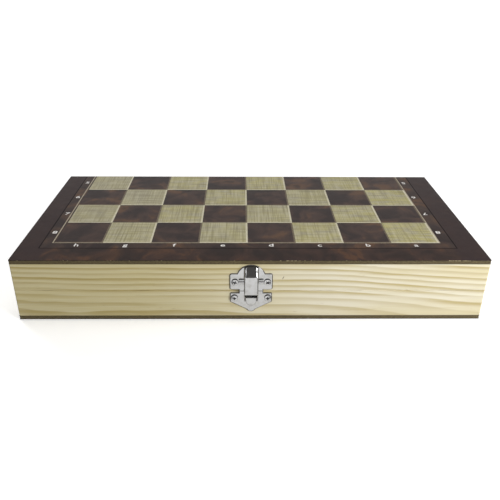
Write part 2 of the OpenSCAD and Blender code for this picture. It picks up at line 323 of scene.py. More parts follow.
@dataclass(frozen=True)
class Squares:
    """Where the squares of a board lie, so that each can carry a cut of its own from the pattern."""

    low_x: float
    low_y: float
    size: float
    jump: float = 400.0

    def own_cut(self, paint: Paint, place: Socket) -> tuple[Socket, Socket]:
        """Moves a pattern by a jump that differs from square to square.

        Args:
            paint: The material that the steps go into.
            place: Where a point lies, in millimetres.

        Returns:
            The moved place, and a random vector that the whole square shares.
        """
        corner = (self.low_x / MM, self.low_y / MM, 0.0)
        size = self.size / MM
        taller_than_the_box = 1 / MM ** 2
        offset = paint.vector("SUBTRACT", place, corner)
        cell = paint.vector("FLOOR", paint.vector("DIVIDE", offset, (size, size, taller_than_the_box)))
        chance = paint.add("ShaderNodeTexWhiteNoise", {0: cell}, noise_dimensions="3D").outputs["Color"]
        return paint.vector("ADD", place, paint.scaled(chance, self.jump)), chance


@dataclass(frozen=True)
class Pine:
    """Clear pine whose rings show as soft tan lines along the rail."""

    name: str
    grain: Grain
    heart: Pair
    shift: Triple = (0.0, 0.0, 0.0)
    pitch: float = 2.9
    wander: float = 6.0
    fall: Triple = (0.0, 0.0, 1.0)
    seam: float = 21.0
    early: str = "#ece5cf"
    warm: str = "#e1d6b2"
    late: str = "#cbb77e"
    ring_shade: str = "#d6caa4"
    deep: str = "#a2875a"
    # Colour that the edges along the seam and the panels are darkened towards.
    dirt: str = "#6e5b3c"
    pale_fibre: str = "#efebd8"
    end_grain: str = "#b4935a"
    bark: str = "#5c4a2c"
    fleck: Pair | None = None
    fleck_lean: float = -0.45
    fleck_half_w: float = 0.28
    fleck_half_h: float = 1.1
    seam_dirt: Pair = (0.34, 0.14)
    panel_dirt: Pair = (17.9, 18.3)
    relief: float = 0.03 * MM
    shine: float = 0.35
    # Painted shade: the rail painted darker and yellower towards one end, where less light falls; its colour,
    # and where along the rail it starts and is fullest, in millimetres.
    aged: str = "#d2c592"
    aged_from: Pair | None = None

    def make(self) -> Material:
        """Builds the material: rings round the tree's heart, fibres, pores, darker edges along the seam and
        the panels, darker end grain and, where asked, painted shade towards one end.
        """
        paint = Paint(self.name)
        place = paint.place()
        x, y, z = paint.split(place)
        along, across = (x, y) if self.grain is Grain.ALONG_X else (y, x)
        solid = paint.vector("ADD", paint.joined(along, across, z), self.shift)

        ring = self.ring_number(paint, solid, along, across, z)
        phase = paint.math("FRACT", ring)
        late_wood = paint.times(paint.rise(phase, 0.22, 0.84), paint.rise(phase, 1.0, 0.88))
        year = paint.add("ShaderNodeTexWhiteNoise", {"W": paint.math("FLOOR", ring)},
                         noise_dimensions="1D").outputs["Value"]
        patchy = paint.noise(solid, (80.0, 9.0, 9.0), 1.0)
        strength = paint.times(paint.spread(year, 0.45, 1.0), paint.rise(patchy, 0.22, 0.52))
        line = paint.times(late_wood, strength)

        fibres = paint.noise(solid, (34.0, 0.4, 0.4), 3.0, 0.6)
        clouds = paint.noise(solid, (80.0, 10.0, 10.0), 2.0)
        colour = paint.between(paint.rise(clouds, 0.38, 0.72), self.early, self.warm)
        # Painted shade towards the end of the rail that gets less light: darker and yellower.
        if self.aged_from is not None:
            aged = paint.rise(along, *self.aged_from, 0.8)
            colour = paint.tinted(colour, aged, self.aged)
        colour = paint.mix(line, colour, hex_colour(self.ring_shade), "MULTIPLY")
        colour = paint.tinted(colour, paint.rise(fibres, 0.52, 0.78, 0.3), self.late)
        colour = paint.tinted(colour, paint.rise(fibres, 0.48, 0.26, 0.35), self.pale_fibre)
        colour = paint.tinted(colour, paint.times(self.pores(paint, solid), 0.4), self.deep)
        colour = self.with_fleck(paint, x, z, colour)
        colour = self.with_dirt(paint, solid, z, colour)
        colour = self.with_end_grain(paint, colour)

        height = paint.times_plus(fibres, 0.7, paint.times(line, 0.3))
        roughness = paint.spread(fibres, 0.38, 0.54)
        return paint.finish(colour, roughness, height, self.relief, self.shine)

    def ring_number(self, paint: Paint, solid: Socket, along: Socket, across: Socket, z: Socket) -> Socket:
        """How many rings lie between the tree's heart and a point.

        Args:
            paint: The material.
            solid: The point in the log.
            along: Place along the grain, in millimetres.
            across: Place across the grain.
            z: Height.

        Returns:
            The number, which rises steadily within a ring.
        """
        waves = paint.noise(solid, (110.0, 60.0, 60.0), 1.0)
        ripple = paint.noise(solid, (26.0, 9.0, 9.0), 2.0)
        off_across = paint.minus(across, self.heart[0])
        off_up = paint.minus(z, self.heart[1])
        squared = paint.plus(paint.times(off_across, off_across), paint.times(off_up, off_up))
        radius = paint.math("SQRT", squared)
        radius = paint.times_plus(waves, self.wander, radius)
        radius = paint.times_plus(ripple, 0.9, radius)
        depth, start, end = self.fall
        radius = paint.times_plus(paint.rise(along, start, end), depth, radius)
        return paint.over(radius, self.pitch)

    def pores(self, paint: Paint, solid: Socket) -> Socket:
        """Scarce short resin canals along the grain."""
        canals = paint.noise(solid, (4.0, 0.26, 0.26), 0.0)
        scarce = paint.noise(solid, (16.0, 5.0, 5.0), 0.0)
        return paint.times(paint.rise(canals, 0.76, 0.84), paint.rise(scarce, 0.55, 0.66))

    def with_fleck(self, paint: Paint, x: Socket, z: Socket, colour: Socket) -> Socket:
        """Adds the short slanted bark mark that one rail has."""
        if self.fleck is None:
            return colour
        off_x = paint.minus(x, self.fleck[0])
        off_z = paint.minus(z, self.fleck[1])
        lean = paint.times_plus(off_z, self.fleck_lean, off_x)
        wide = paint.over(lean, self.fleck_half_w)
        tall = paint.over(off_z, self.fleck_half_h)
        reach = paint.plus(paint.times(wide, wide), paint.times(tall, tall))
        return paint.tinted(colour, paint.rise(reach, 1.2, 0.5, 0.8), self.bark)

    def with_dirt(self, paint: Paint, solid: Socket, z: Socket, colour: Socket) -> Socket:
        """Darkens the sawn edges along the seam, and lightly those along the panels."""
        off = paint.size_of(paint.minus(z, self.seam))
        unevenness = paint.noise(solid, (30.0, 6.0, 6.0), 3.0, 0.7)
        unevenness = paint.spread(paint.rise(unevenness, 0.42, 0.66), 0.08, 0.6)
        level = paint.split(paint.add("ShaderNodeTexCoord").outputs["Normal"])[2]
        upright = paint.spread(paint.rise(paint.size_of(level), 0.9, 0.6), 0.06, 1.0)
        seam = paint.times(paint.times(paint.rise(off, *self.seam_dirt), unevenness), upright)
        panel = paint.rise(off, *self.panel_dirt, 0.2)
        return paint.tinted(colour, paint.math("MAXIMUM", seam, panel), self.dirt)

    def with_end_grain(self, paint: Paint, colour: Socket) -> Socket:
        """Darkens the sawn ends, which drink more of the varnish."""
        normal = paint.split(paint.add("ShaderNodeTexCoord").outputs["Normal"])[self.grain.value]
        ends = paint.rise(paint.size_of(normal), 0.6, 0.9)
        return paint.tinted(colour, paint.times(ends, 0.45), self.end_grain)


@dataclass(frozen=True)
class Burl:
    """Film printed as dark burl: brown clouds with blackish eyes and rusty patches."""

    name: str
    squares: Squares | None = None
    calm_from: float | None = None
    black: str = "#2a2120"
    brown: str = "#40312c"
    rust: str = "#5e4533"
    calm: tuple[str, str] = ("#3f3230", "#40312c")
    dust: str = "#6b5a50"
    relief: float = 0.012 * MM
    shine: float = 0.18

    def make(self) -> Material:
        """Builds the material from soft noise that is bent by other noise."""
        paint = Paint(self.name)
        plain = paint.place()
        place = plain
        if self.squares is not None:
            place, _ = self.squares.own_cut(paint, plain)
        bend = paint.add("ShaderNodeTexNoise", {"Vector": paint.vector("DIVIDE", place, (24.0,) * 3),
                                                "Scale": 1.0, "Detail": 1.0}).outputs["Color"]
        bent = paint.vector("ADD", place, paint.scaled(paint.vector("SUBTRACT", bend, (0.5,) * 3), 30.0))
        clouds = paint.noise(bent, (20.0, 16.0, 18.0), 2.0, 0.45)
        figure = paint.noise(bent, (3.6, 13.0, 8.0), 3.0, 0.55)
        dark = paint.noise(bent, (15.0, 15.0, 15.0), 1.0)
        tone = paint.times_plus(paint.minus(figure, 0.5), 0.3, clouds)
        colour = paint.between(paint.rise(tone, 0.34, 0.54), self.black, self.brown)
        rusty = paint.rise(tone, 0.52, 0.7, 0.8)
        colour = paint.tinted(colour, rusty, self.rust)
        eyes = paint.rise(dark, 0.54, 0.7, 0.7)
        colour = paint.tinted(colour, eyes, self.black)
        curl = paint.noise(bent, (1.1, 5.0, 3.0), 2.0, 0.6)
        colour = paint.tinted(colour, paint.rise(curl, 0.55, 0.75, 0.35), self.black)
        if self.calm_from is not None:
            side = paint.size_of(paint.split(plain)[0])
            calm = paint.rise(side, self.calm_from / MM - 2.0, self.calm_from / MM + 1.0)
            grain = paint.between(figure, *self.calm)
            colour = paint.mix(paint.times(calm, 0.9), colour, grain)
        dots = paint.noise(plain, (0.5, 0.5, 0.5), 2.0, 0.7)
        colour = paint.tinted(colour, paint.spread(dots, 0.0, 0.08), self.dust)
        roughness = paint.spread(paint.noise(plain, (7.0, 7.0, 7.0), 3.0), 0.36, 0.5)
        return paint.finish(colour, roughness, dots, self.relief, self.shine)


@dataclass(frozen=True)
class PaleVeneer:
    """Film printed as pale veneer, with fine streaks both ways like a coarse linen."""

    name: str
    squares: Squares
    pale: str = "#a59e80"
    grey: str = "#9a9480"
    yellow: str = "#b3aa64"
    bright: str = "#bab498"
    streak: str = "#767053"
    relief: float = 0.012 * MM
    shine: float = 0.18

    def make(self) -> Material:
        """Builds the material, with another tint and another mix of streaks on each square."""
        paint = Paint(self.name)
        plain = paint.place()
        place, chance = self.squares.own_cut(paint, plain)
        tint, share, _ = paint.split(chance)
        clouds = paint.noise(place, (14.0, 14.0, 14.0), 2.0)
        colour = paint.between(paint.rise(clouds, 0.3, 0.7), self.pale, self.grey)
        along = paint.rise(paint.split(plain)[0], -90.0, 130.0)
        warm = paint.times(paint.plus(tint, along), 0.5)
        patches = paint.noise(place, (11.0, 4.0, 8.0), 2.0)
        warm = paint.times(warm, paint.rise(patches, 0.3, 0.65))
        colour = paint.tinted(colour, warm, self.yellow)
        upright = paint.noise(place, (0.8, 30.0, 20.0), 2.0, 0.65)
        level = paint.noise(place, (30.0, 0.9, 20.0), 2.0, 0.65)
        light = paint.times(upright, level)
        colour = paint.tinted(colour, paint.rise(light, 0.27, 0.16, 0.6), self.bright)
        upright_share = paint.times(paint.rise(upright, 0.46, 0.68), paint.spread(share, 0.25, 0.55))
        level_share = paint.times(paint.rise(level, 0.48, 0.68), paint.spread(share, 0.7, 0.4))
        colour = paint.tinted(colour, upright_share, self.streak)
        colour = paint.tinted(colour, level_share, self.streak)
        roughness = paint.spread(clouds, 0.36, 0.5)
        return paint.finish(colour, roughness, light, self.relief, self.shine)


@dataclass(frozen=True)
class PrintedLine:
    """A line, strip or letter of the print: one ink, a little uneven and rubbed."""

    name: str
    ink: str
    rubbed: str
    shine: float = 0.3
    relief: float = 0.008 * MM

    def make(self) -> Material:
        """Builds the material."""
        paint = Paint(self.name)
        place = paint.place()
        wear = paint.noise(place, (1.6, 1.6, 1.6), 4.0, 0.7)
        colour = paint.between(paint.rise(wear, 0.42, 0.75), self.ink, self.rubbed)
        roughness = paint.spread(wear, 0.4, 0.55)
        return paint.finish(colour, roughness, wear, self.relief, self.shine)


@dataclass(frozen=True)
class Fibreboard:
    """The sawn edge of a fibreboard panel: olive brown, fine fibres, saw marks and pale chips."""

    name: str
    skin_z: float
    chips: tuple[Pair, ...] = ()
    base: str = "#655a40"
    dark: str = "#383020"
    light: str = "#877a58"
    burnt: str = "#2b2318"
    chip: str = "#c9ba92"
    relief: float = 0.05 * MM
    shine: float = 0.25

    def make(self) -> Material:
        """Builds the material, with chips where the printed film has broken away along the skin."""
        paint = Paint(self.name)
        place = paint.place()
        fibres = paint.noise(place, (0.9, 0.9, 0.25), 4.0, 0.7)
        clouds = paint.noise(place, (12.0, 12.0, 3.0), 2.0)
        colour = paint.ramp(fibres, [(0.25, self.dark), (0.5, self.base), (0.8, self.light)])
        colour = paint.tinted(colour, paint.spread(clouds, 0.0, 0.35), self.dark)
        x, _, z = paint.split(place)
        depth = paint.size_of(paint.minus(z, self.skin_z / MM))
        burnt = paint.rise(depth, 0.7, 0.25, 0.7)
        colour = paint.tinted(colour, burnt, self.burnt)
        ragged = paint.noise(place, (1.5, 1.5, 0.8), 4.0, 0.75)
        for middle, reach in self.chips:
            near = paint.rise(paint.size_of(paint.minus(x, middle)), reach, 0.0)
            level = paint.times_plus(near, 0.14, ragged)
            chip = paint.times(paint.rise(level, 0.62, 0.68), paint.rise(depth, 0.7, 0.3))
            colour = paint.tinted(colour, paint.times(chip, 0.8), self.chip)
        saw = paint.noise(place, (0.35, 0.35, 6.0), 1.0)
        height = paint.times_plus(saw, 0.5, fibres)
        return paint.finish(colour, paint.spread(fibres, 0.6, 0.8), height, self.relief, self.shine)


@dataclass(frozen=True)
class Nickel:
    """Bright nickel plate with a soft wave from the press, hair scratches and dull finger marks, and where
    asked a painted shade beside the lever's tab.
    """

    name: str
    bright: str = "#bababa"
    dull: str = "#abaaa7"
    smooth: float = 0.12
    relief: float = 0.02 * MM
    # Painted shade beside the lever's tab: its colour, its strength, and its inner and outer distance from
    # the middle and lowest and highest level, in millimetres.
    dirt_shade: str = "#34322e"
    dirt_strength: float = 0.75
    dirt_beside: tuple[float, float, float, float] | None = None

    def dirt(self, paint: Paint, place: Socket) -> Socket:
        """Where shade is painted on the lower plate, in a stripe along either side of the lever's tab, for
        the shadow in the gap beside it.

        Args:
            paint: The material that the steps go into.
            place: Where a point lies, in millimetres.

        Returns:
            How strongly the shade is painted on the point, from 0 to 1.
        """
        inner, outer, low, high = self.dirt_beside
        x, _, z = paint.split(place)
        side = paint.size_of(x)
        wide = paint.times(paint.rise(side, inner, inner + 0.2), paint.rise(side, outer + 0.4, outer))
        tall = paint.times(paint.rise(z, low, low + 2.0), paint.rise(z, high + 0.5, high))
        return paint.times(paint.times(wide, tall), self.dirt_strength)

    def make(self) -> Material:
        """Builds the material."""
        paint = Paint(self.name)
        place = paint.place()
        marks = paint.noise(place, (4.0, 4.0, 4.0), 3.0, 0.6)
        scratches = paint.noise(place, (3.0, 0.5, 0.06), 1.0)
        crossing = paint.noise(place, (0.06, 0.5, 3.0), 1.0)
        hair = paint.math("MAXIMUM", paint.rise(scratches, 0.72, 0.8), paint.rise(crossing, 0.75, 0.82))
        colour = paint.between(paint.rise(marks, 0.45, 0.75), self.bright, self.dull)
        roughness = paint.spread(paint.rise(marks, 0.4, 0.8), self.smooth, self.smooth + 0.08)
        roughness = paint.times_plus(hair, 0.12, roughness)
        # Painted shade beside the lever's tab, where the gap lies in shadow; the surface is also made rougher
        # there.
        if self.dirt_beside is not None:
            dirt = self.dirt(paint, place)
            colour = paint.tinted(colour, dirt, self.dirt_shade)
            roughness = paint.times_plus(dirt, 0.3, roughness)
        height = paint.times_plus(hair, -0.05, paint.noise(place, (2.6, 2.6, 2.6), 1.0))
        return paint.finish(colour, roughness, height, self.relief, metallic=1.0)


@dataclass(frozen=True)
class DrawnWire:
    """Spring wire with the long streaks of the die and a trace of oil."""

    name: str
    steel: str = "#a9a9ab"
    oil: str = "#6f6a61"
    relief: float = 0.006 * MM

    def make(self) -> Material:
        """Builds the material."""
        paint = Paint(self.name)
        place = paint.place()
        streaks = paint.noise(place, (0.08, 1.2, 1.2), 2.0)
        film = paint.noise(place, (1.5, 1.5, 1.5), 2.0)
        colour = paint.between(paint.rise(film, 0.45, 0.8), self.steel, self.oil)
        roughness = paint.spread(streaks, 0.22, 0.42)
        return paint.finish(colour, roughness, streaks, self.relief, metallic=1.0)


def turn(degrees: float, axis: str) -> Matrix:
    """A turn about X, Y or Z."""
    return Matrix.Rotation(math.radians(degrees), 4, axis)


def shift(x: float, y: float, z: float) -> Matrix:
    """A move by these lengths."""
    return Matrix.Translation((x, y, z))


def joint_place(name: str) -> Vector:
    """A point on the axis of the joint of this name."""
    return Vector(next(j for j in frame["joints"] if j["name"] == name)["pos_m"])


def linked(name: str, data: bpy.types.ID) -> Object:
    """Puts a mesh, letter, lamp or camera into the scene as an object of this name."""
    data.name = name
    piece = bpy.data.objects.new(name, data)
    bpy.context.scene.collection.objects.link(piece)
    return piece


def applied(piece: Object) -> Object:
    """Turns a piece's live modifiers into plain mesh, and returns the piece."""
    graph = bpy.context.evaluated_depsgraph_get()
    evaluated = piece.evaluated_get(graph)
    mesh = bpy.data.meshes.new_from_object(evaluated, preserve_all_data_layers=True, depsgraph=graph)
    piece.modifiers.clear()
    mesh.name = piece.name
    piece.data = mesh
    return piece


def from_draft(name: str, draft: bmesh.types.BMesh) -> Object:
    """Turns a bmesh into an object, with its faces pointing outwards."""
    bmesh.ops.recalc_face_normals(draft, faces=draft.faces)
    mesh = bpy.data.meshes.new(name)
    draft.to_mesh(mesh)
    draft.free()
    return linked(name, mesh)


def moved(piece: Object, *steps: Matrix) -> Object:
    """Moves the mesh of a piece by these steps, the first one first."""
    for step in steps:
        piece.data.transform(step)
    return piece


def merged(name: str, pieces: Sequence[Object]) -> Object:
    """Joins several objects into one, which keeps all their materials.

    Args:
        name: Name of the joined object.
        pieces: The objects, which are used up.

    Returns:
        The joined object.
    """
    first = pieces[0]
    with bpy.context.temp_override(active_object=first, object=first, selected_editable_objects=list(pieces),
                                   selected_objects=list(pieces)):
        bpy.ops.object.join()
    first.name = name
    first.data.name = name
    return first


def cad_copy(node: str, name: str, weld: float = 0.002 * MM, flat_angle: float = 0.6) -> Object:
    """A merged copy of a CAD node's mesh, with each flat face made whole, ready for a bevel.

    Args:
        node: Name of the CAD node.
        name: Name of the copy.
        weld: Distance within which corners are merged.
        flat_angle: Faces that meet at less than this, in degrees, become one.

    Returns:
        The copy.
    """
    draft = bmesh.new()
    draft.from_mesh(frame["nodes"][node].data)
    bmesh.ops.remove_doubles(draft, verts=draft.verts, dist=weld)
    bmesh.ops.dissolve_limit(draft, angle_limit=math.radians(flat_angle), verts=draft.verts,
                             edges=draft.edges)
    mesh = bpy.data.meshes.new(name)
    draft.to_mesh(mesh)
    draft.free()
    return linked(name, mesh)


def flat_shaded(piece: Object) -> Object:
    """Keeps the flat faces of a smoothly shaded piece flat in the light, and returns the piece."""
    shading = piece.modifiers.new("flat_faces", "WEIGHTED_NORMAL")
    shading.keep_sharp = True
    return applied(piece)


def cut_out(piece: Object, cutter: Object) -> Object:
    """Cuts a solid out of a piece, uses the solid up, and returns the piece."""
    cut = piece.modifiers.new("cut", "BOOLEAN")
    cut.object = cutter
    cut.operation = "DIFFERENCE"
    applied(piece)
    bpy.data.objects.remove(cutter)
    return piece


def smoothed(piece: Object, angle: float = 40.0) -> Object:
    """Shades a piece smoothly, with creases where its faces meet at more than this angle in degrees."""
    piece.data.shade_smooth()
    piece.data.set_sharp_from_angle(angle=math.radians(angle))
    return piece


def softened(piece: Object, width: float, segments: int = 2, angle: float = 32.0, by_weight: bool = False,
             rim: int = -1, crease: float = 50.0) -> Object:
    """Rounds the edges of a piece and keeps its flat faces flat in the light.

    Args:
        piece: The piece.
        width: Width of the rounding.
        segments: Faces across the rounding.
        angle: Edges sharper than this, in degrees, are rounded.
        by_weight: Whether each edge's bevel weight chooses it instead of its angle.
        rim: Number of the material that the rounding gets, or -1 for that of the faces beside it.
        crease: Faces of the rounded piece that meet at more than this, in degrees, keep a sharp edge.

    Returns:
        The piece, with plain mesh.
    """
    bevel = piece.modifiers.new("rounding", "BEVEL")
    bevel.width = width
    bevel.segments = segments
    bevel.limit_method = "WEIGHT" if by_weight else "ANGLE"
    bevel.angle_limit = math.radians(angle)
    bevel.use_clamp_overlap = rim < 0
    bevel.loop_slide = rim < 0
    bevel.material = rim
    return flat_shaded(smoothed(applied(piece), crease))


def settled(piece: Object, body: str, slot: str, *nodes: str, finish: Material | None = None) -> Object:
    """Gives a finished piece its place in the assembly and reports it.

    Args:
        piece: The piece, in place.
        body: The body that it rides on.
        slot: The record's material slot, which is not used.
        nodes: The CAD nodes that it stands for.
        finish: Its material, where its mesh has none yet.

    Returns:
        The piece.
    """
    if finish is not None:
        piece.data.materials.clear()
        piece.data.materials.append(finish)
    if nodes:
        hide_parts(*nodes)
    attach(piece, body)
    LOG.info("%s: %d faces, on %s", piece.name, len(piece.data.polygons), body)
    return piece


class Growth(Graph):
    """A Geometry Nodes tree with named inputs, which is run once for each piece that it makes."""

    def __init__(self, name: str, **inputs: str) -> None:
        """Starts a tree.

        Args:
            name: Name of the tree.
            inputs: For each kind of input, such as Float or Material, the names of the inputs.
        """
        tree = bpy.data.node_groups.new(name, "GeometryNodeTree")
        for kind, labels in inputs.items():
            for label in labels.split(", "):
                tree.interface.new_socket(label, in_out="INPUT", socket_type=f"NodeSocket{kind}")
        tree.interface.new_socket("Geometry", in_out="OUTPUT", socket_type="NodeSocketGeometry")
        super().__init__(tree)
        self.given = self.add("NodeGroupInput").outputs

    def index(self) -> Socket:
        """The number of each point or instance."""
        return self.out("GeometryNodeInputIndex")

    def raised(self, flat: Socket, thickness: Socket, weld: float) -> Socket:
        """Makes flat faces into a closed slab.

        Args:
            flat: The faces, which become the slab's underside.
            thickness: How thick the slab is.
            weld: Distance within which corners are merged.

        Returns:
            The slab.
        """
        upper = self.out("GeometryNodeExtrudeMesh", {0: flat, 3: thickness, 4: False}, mode="FACES")
        under = self.out("GeometryNodeFlipFaces", {0: flat})
        both = self.add("GeometryNodeJoinGeometry", {0: upper})
        self.tree.links.new(under, both.inputs[0])
        return self.out("GeometryNodeMergeByDistance", {0: both.outputs[0], 2: weld})

    def end(self, geometry: Socket, paints: Sequence[tuple[Value, Socket]]) -> None:
        """Ends the tree: instances become mesh, and the mesh gets its materials.

        Args:
            geometry: What has been made.
            paints: Pairs of the faces that are chosen and the material that they get, later ones on top.
        """
        made = self.out("GeometryNodeRealizeInstances", {0: geometry})
        for chosen, material in paints:
            made = self.out("GeometryNodeSetMaterial", {0: made, 1: chosen, 2: material})
        self.add("NodeGroupOutput", {0: made})

    def grow(self, name: str, values: Mapping[str, Value]) -> Object:
        """Runs the tree once and keeps the result as plain mesh.

        Args:
            name: Name of the new object.
            values: What goes into the named inputs.

        Returns:
            The object, with no modifier left.
        """
        piece = linked(name, bpy.data.meshes.new(name))
        modifier = piece.modifiers.new(name, "NODES")
        modifier.node_group = self.tree
        for item in self.tree.interface.items_tree:
            if item.in_out == "INPUT":
                modifier[item.identifier] = values[item.name]
        return applied(piece)


def chess_field_tree() -> Growth:
    """A slab of chess squares, each with a narrow edge along its right and front sides."""
    tree = Growth("chess_field", Int="Files, Ranks, Light First", Float="Square, Edge, Thickness",
                  Vector="Corner", Material="Dark, Light, Dark Edge, Light Edge")
    given = tree.given
    counts = [given["Files"], given["Ranks"]]
    lines = [tree.times_plus(n, 2.0, 1.0) for n in counts]
    sizes = {0: counts[0], 1: counts[1], 2: lines[0], 3: lines[1]}
    grid = tree.add("GeometryNodeMeshGrid", sizes).outputs["Mesh"]
    place = tree.split(tree.out("GeometryNodeInputPosition"))
    step_back = [tree.minus(given["Square"], given["Edge"]), given["Edge"]]
    spots = []
    for axis in (0, 1):
        halves = tree.math("ROUND", tree.times_plus(place[axis], 2.0, counts[axis]))
        whole = tree.math("FLOOR", tree.times(halves, 0.5))
        odd = tree.math("MODULO", halves, 2.0)
        start = tree.times(whole, given["Square"])
        spots.append(tree.times_plus(odd, step_back[axis], start))
    corner = given["Corner"]
    spot = tree.vector("ADD", tree.joined(*spots, 0.0), corner)
    laid = tree.out("GeometryNodeSetPosition", {0: grid, 2: spot})
    slab = tree.raised(laid, given["Thickness"], SAME_PLACE)

    middle = tree.out("GeometryNodeInputPosition")
    in_squares = tree.scaled(tree.vector("SUBTRACT", middle, corner), tree.over(1.0, given["Square"]))
    u, v, _ = tree.split(in_squares)
    share = tree.over(given["Edge"], given["Square"])
    count = tree.plus(tree.math("FLOOR", u), tree.math("FLOOR", v))
    odd = tree.math("MODULO", tree.plus(count, given["Light First"]), 2.0)
    right = tree.math("GREATER_THAN", tree.math("FRACT", u), tree.minus(1.0, share))
    front = tree.math("LESS_THAN", tree.math("FRACT", v), share)
    edge = tree.math("MAXIMUM", right, front)
    light_edge = tree.times(odd, edge)
    tree.end(slab, [(True, given["Dark"]), (odd, given["Light"]), (edge, given["Dark Edge"]),
                    (light_edge, given["Light Edge"])])
    return tree


def points_tree() -> Growth:
    """The long triangles of a backgammon board, in two facing rows, every second one in another material."""
    tree = Growth("backgammon_points", Int="Count, Swap", Float="Pitch, Width, Length, Thickness, Wall",
                  Vector="Low", Material="Odd, Even")
    given = tree.given
    triangle = tree.out("GeometryNodeMeshCircle", {0: 3, 1: 1.0}, fill_type="NGON")
    triangle_long = 1.5
    triangle_wide = math.sqrt(3)
    size = tree.joined(tree.over(given["Length"], triangle_long),
                       tree.over(given["Width"], triangle_wide), 1.0)
    base = tree.joined(tree.over(given["Length"], 3.0), 0.0, 0.0)
    flat = tree.out("GeometryNodeTransform", {0: triangle, 1: base, 3: size})
    point = tree.raised(flat, given["Thickness"], SAME_PLACE / 10)

    doubled = tree.times(given["Count"], 2.0)
    line = tree.out("GeometryNodeMeshLine", {0: doubled, 3: (0.0, 0.0, 0.0)})
    index = tree.index()
    far = tree.math("GREATER_THAN", index, tree.minus(given["Count"], 0.5))
    within = tree.minus(index, tree.times(far, given["Count"]))
    side = tree.times_plus(far, 2.0, -1.0)
    spot = tree.joined(tree.times(side, given["Wall"]),
                       tree.times(tree.plus(within, 0.5), given["Pitch"]), 0.0)
    place = tree.vector("ADD", spot, given["Low"])
    spots = tree.out("GeometryNodeSetPosition", {0: line, 2: place})
    facing = tree.out("FunctionNodeEulerToRotation", {0: tree.joined(0.0, 0.0, tree.times(far, math.pi))})
    row = tree.out("GeometryNodeInstanceOnPoints", {0: spots, 2: point, 5: facing})
    number = tree.plus(tree.plus(within, far), given["Swap"])
    stripe = {"Geometry": row, "Name": "stripe", "Value": tree.math("MODULO", number, 2.0)}
    kept = tree.out("GeometryNodeStoreNamedAttribute", stripe, data_type="FLOAT", domain="INSTANCE")
    found = tree.add("GeometryNodeInputNamedAttribute", {"Name": "stripe"}, data_type="FLOAT")
    odd = tree.math("GREATER_THAN", found.outputs["Attribute"], 0.5)
    tree.end(kept, [(True, given["Even"]), (odd, given["Odd"])])
    return tree


def screw_row_tree() -> Growth:
    """Screws in a row along X, in groups, each turned by chance about its own axis."""
    tree = Growth("screw_row", Object="Screw", Int="Groups, Count, Seed", Float="Group Spacing, Spacing",
                  Material="Finish")
    given = tree.given
    total = tree.times(given["Groups"], given["Count"])
    line = tree.out("GeometryNodeMeshLine", {0: total, 3: (0.0, 0.0, 0.0)})
    index = tree.index()
    group = tree.math("FLOOR", tree.over(tree.plus(index, 0.5), given["Count"]))
    within = tree.minus(index, tree.times(group, given["Count"]))
    x = 0.0
    for number, count, spacing in ((group, "Groups", "Group Spacing"), (within, "Count", "Spacing")):
        middle = tree.times_plus(given[count], 0.5, -0.5)
        x = tree.times_plus(tree.minus(number, middle), given[spacing], x)
    spots = tree.out("GeometryNodeSetPosition", {0: line, 2: tree.joined(x, 0.0, 0.0)})
    chance = tree.add("FunctionNodeRandomValue", {2: 0.0, 3: math.tau, 7: index, 8: given["Seed"]},
                      data_type="FLOAT").outputs[1]
    turned = tree.out("FunctionNodeEulerToRotation", {0: tree.joined(0.0, 0.0, chance)})
    screw = tree.add("GeometryNodeObjectInfo", {0: given["Screw"]}).outputs["Geometry"]
    row = tree.out("GeometryNodeInstanceOnPoints", {0: spots, 2: screw, 5: turned})
    polished = tree.math("LESS_THAN", tree.out("GeometryNodeInputMaterialIndex"), 0.5)
    tree.end(row, [(polished, given["Finish"])])
    return tree


def thread_tree() -> Growth:
    """The thread of a screw: a three-cornered ridge wound up its core, from the origin down."""
    tree = Growth("screw_thread", Float="Core, Crest, Length, Pitch", Material="Finish")
    given = tree.given
    steps_a_turn = 20
    turns = tree.over(given["Length"], given["Pitch"])
    winding = {0: steps_a_turn, 1: turns, 2: given["Core"], 3: given["Core"], 4: given["Length"]}
    spiral = tree.out("GeometryNodeCurveSpiral", winding)
    rise = tree.minus(given["Crest"], given["Core"])
    ridge = tree.out("GeometryNodeCurvePrimitiveCircle", {0: 3, 4: rise})
    swept = tree.out("GeometryNodeCurveToMesh", {"Curve": spiral, "Profile Curve": ridge, "Fill Caps": True})
    down = tree.joined(0.0, 0.0, tree.times(given["Length"], -1.0))
    hung = tree.out("GeometryNodeTransform", {0: swept, 1: down})
    tree.end(hung, [(True, given["Finish"])])
    return tree


def spring_tree() -> Growth:
    """A spring of wire wound about X, with a straight leg leaving each end of the winding."""
    tree = Growth("wound_spring", Float="Angle, Radius, Wire, Width, Leg",
                  Int="Leg Steps, Coil Steps, Sides", Material="Finish")
    given = tree.given
    total = tree.plus(tree.times_plus(given["Leg Steps"], 2.0, 1.0), given["Coil Steps"])
    line = tree.out("GeometryNodeCurvePrimitiveLine")
    steps = tree.out("GeometryNodeResampleCurve", {"Curve": line, "Count": total})
    past = tree.minus(tree.index(), given["Leg Steps"])
    on_coil = tree.math("MINIMUM", tree.math("MAXIMUM", past, 0.0), given["Coil Steps"])
    turned = tree.over(on_coil, given["Coil Steps"])
    leg = tree.times(tree.minus(past, on_coil), tree.over(given["Leg"], given["Leg Steps"]))
    angle = tree.times_plus(turned, given["Angle"], math.pi)
    sine = tree.math("SINE", angle)
    cosine = tree.math("COSINE", angle)
    x = tree.times(tree.minus(turned, 0.5), given["Width"])
    y = tree.minus(tree.times(leg, sine), tree.times(given["Radius"], cosine))
    z = tree.plus(tree.times(leg, cosine), tree.times(given["Radius"], sine))
    route = tree.out("GeometryNodeSetPosition", {0: steps, 2: tree.joined(x, y, z)})
    section = tree.out("GeometryNodeCurvePrimitiveCircle", {0: given["Sides"], 4: given["Wire"]})
    swept = tree.out("GeometryNodeCurveToMesh", {"Curve": route, "Profile Curve": section, "Fill Caps": True})
    tree.end(swept, [(True, given["Finish"])])
    return tree


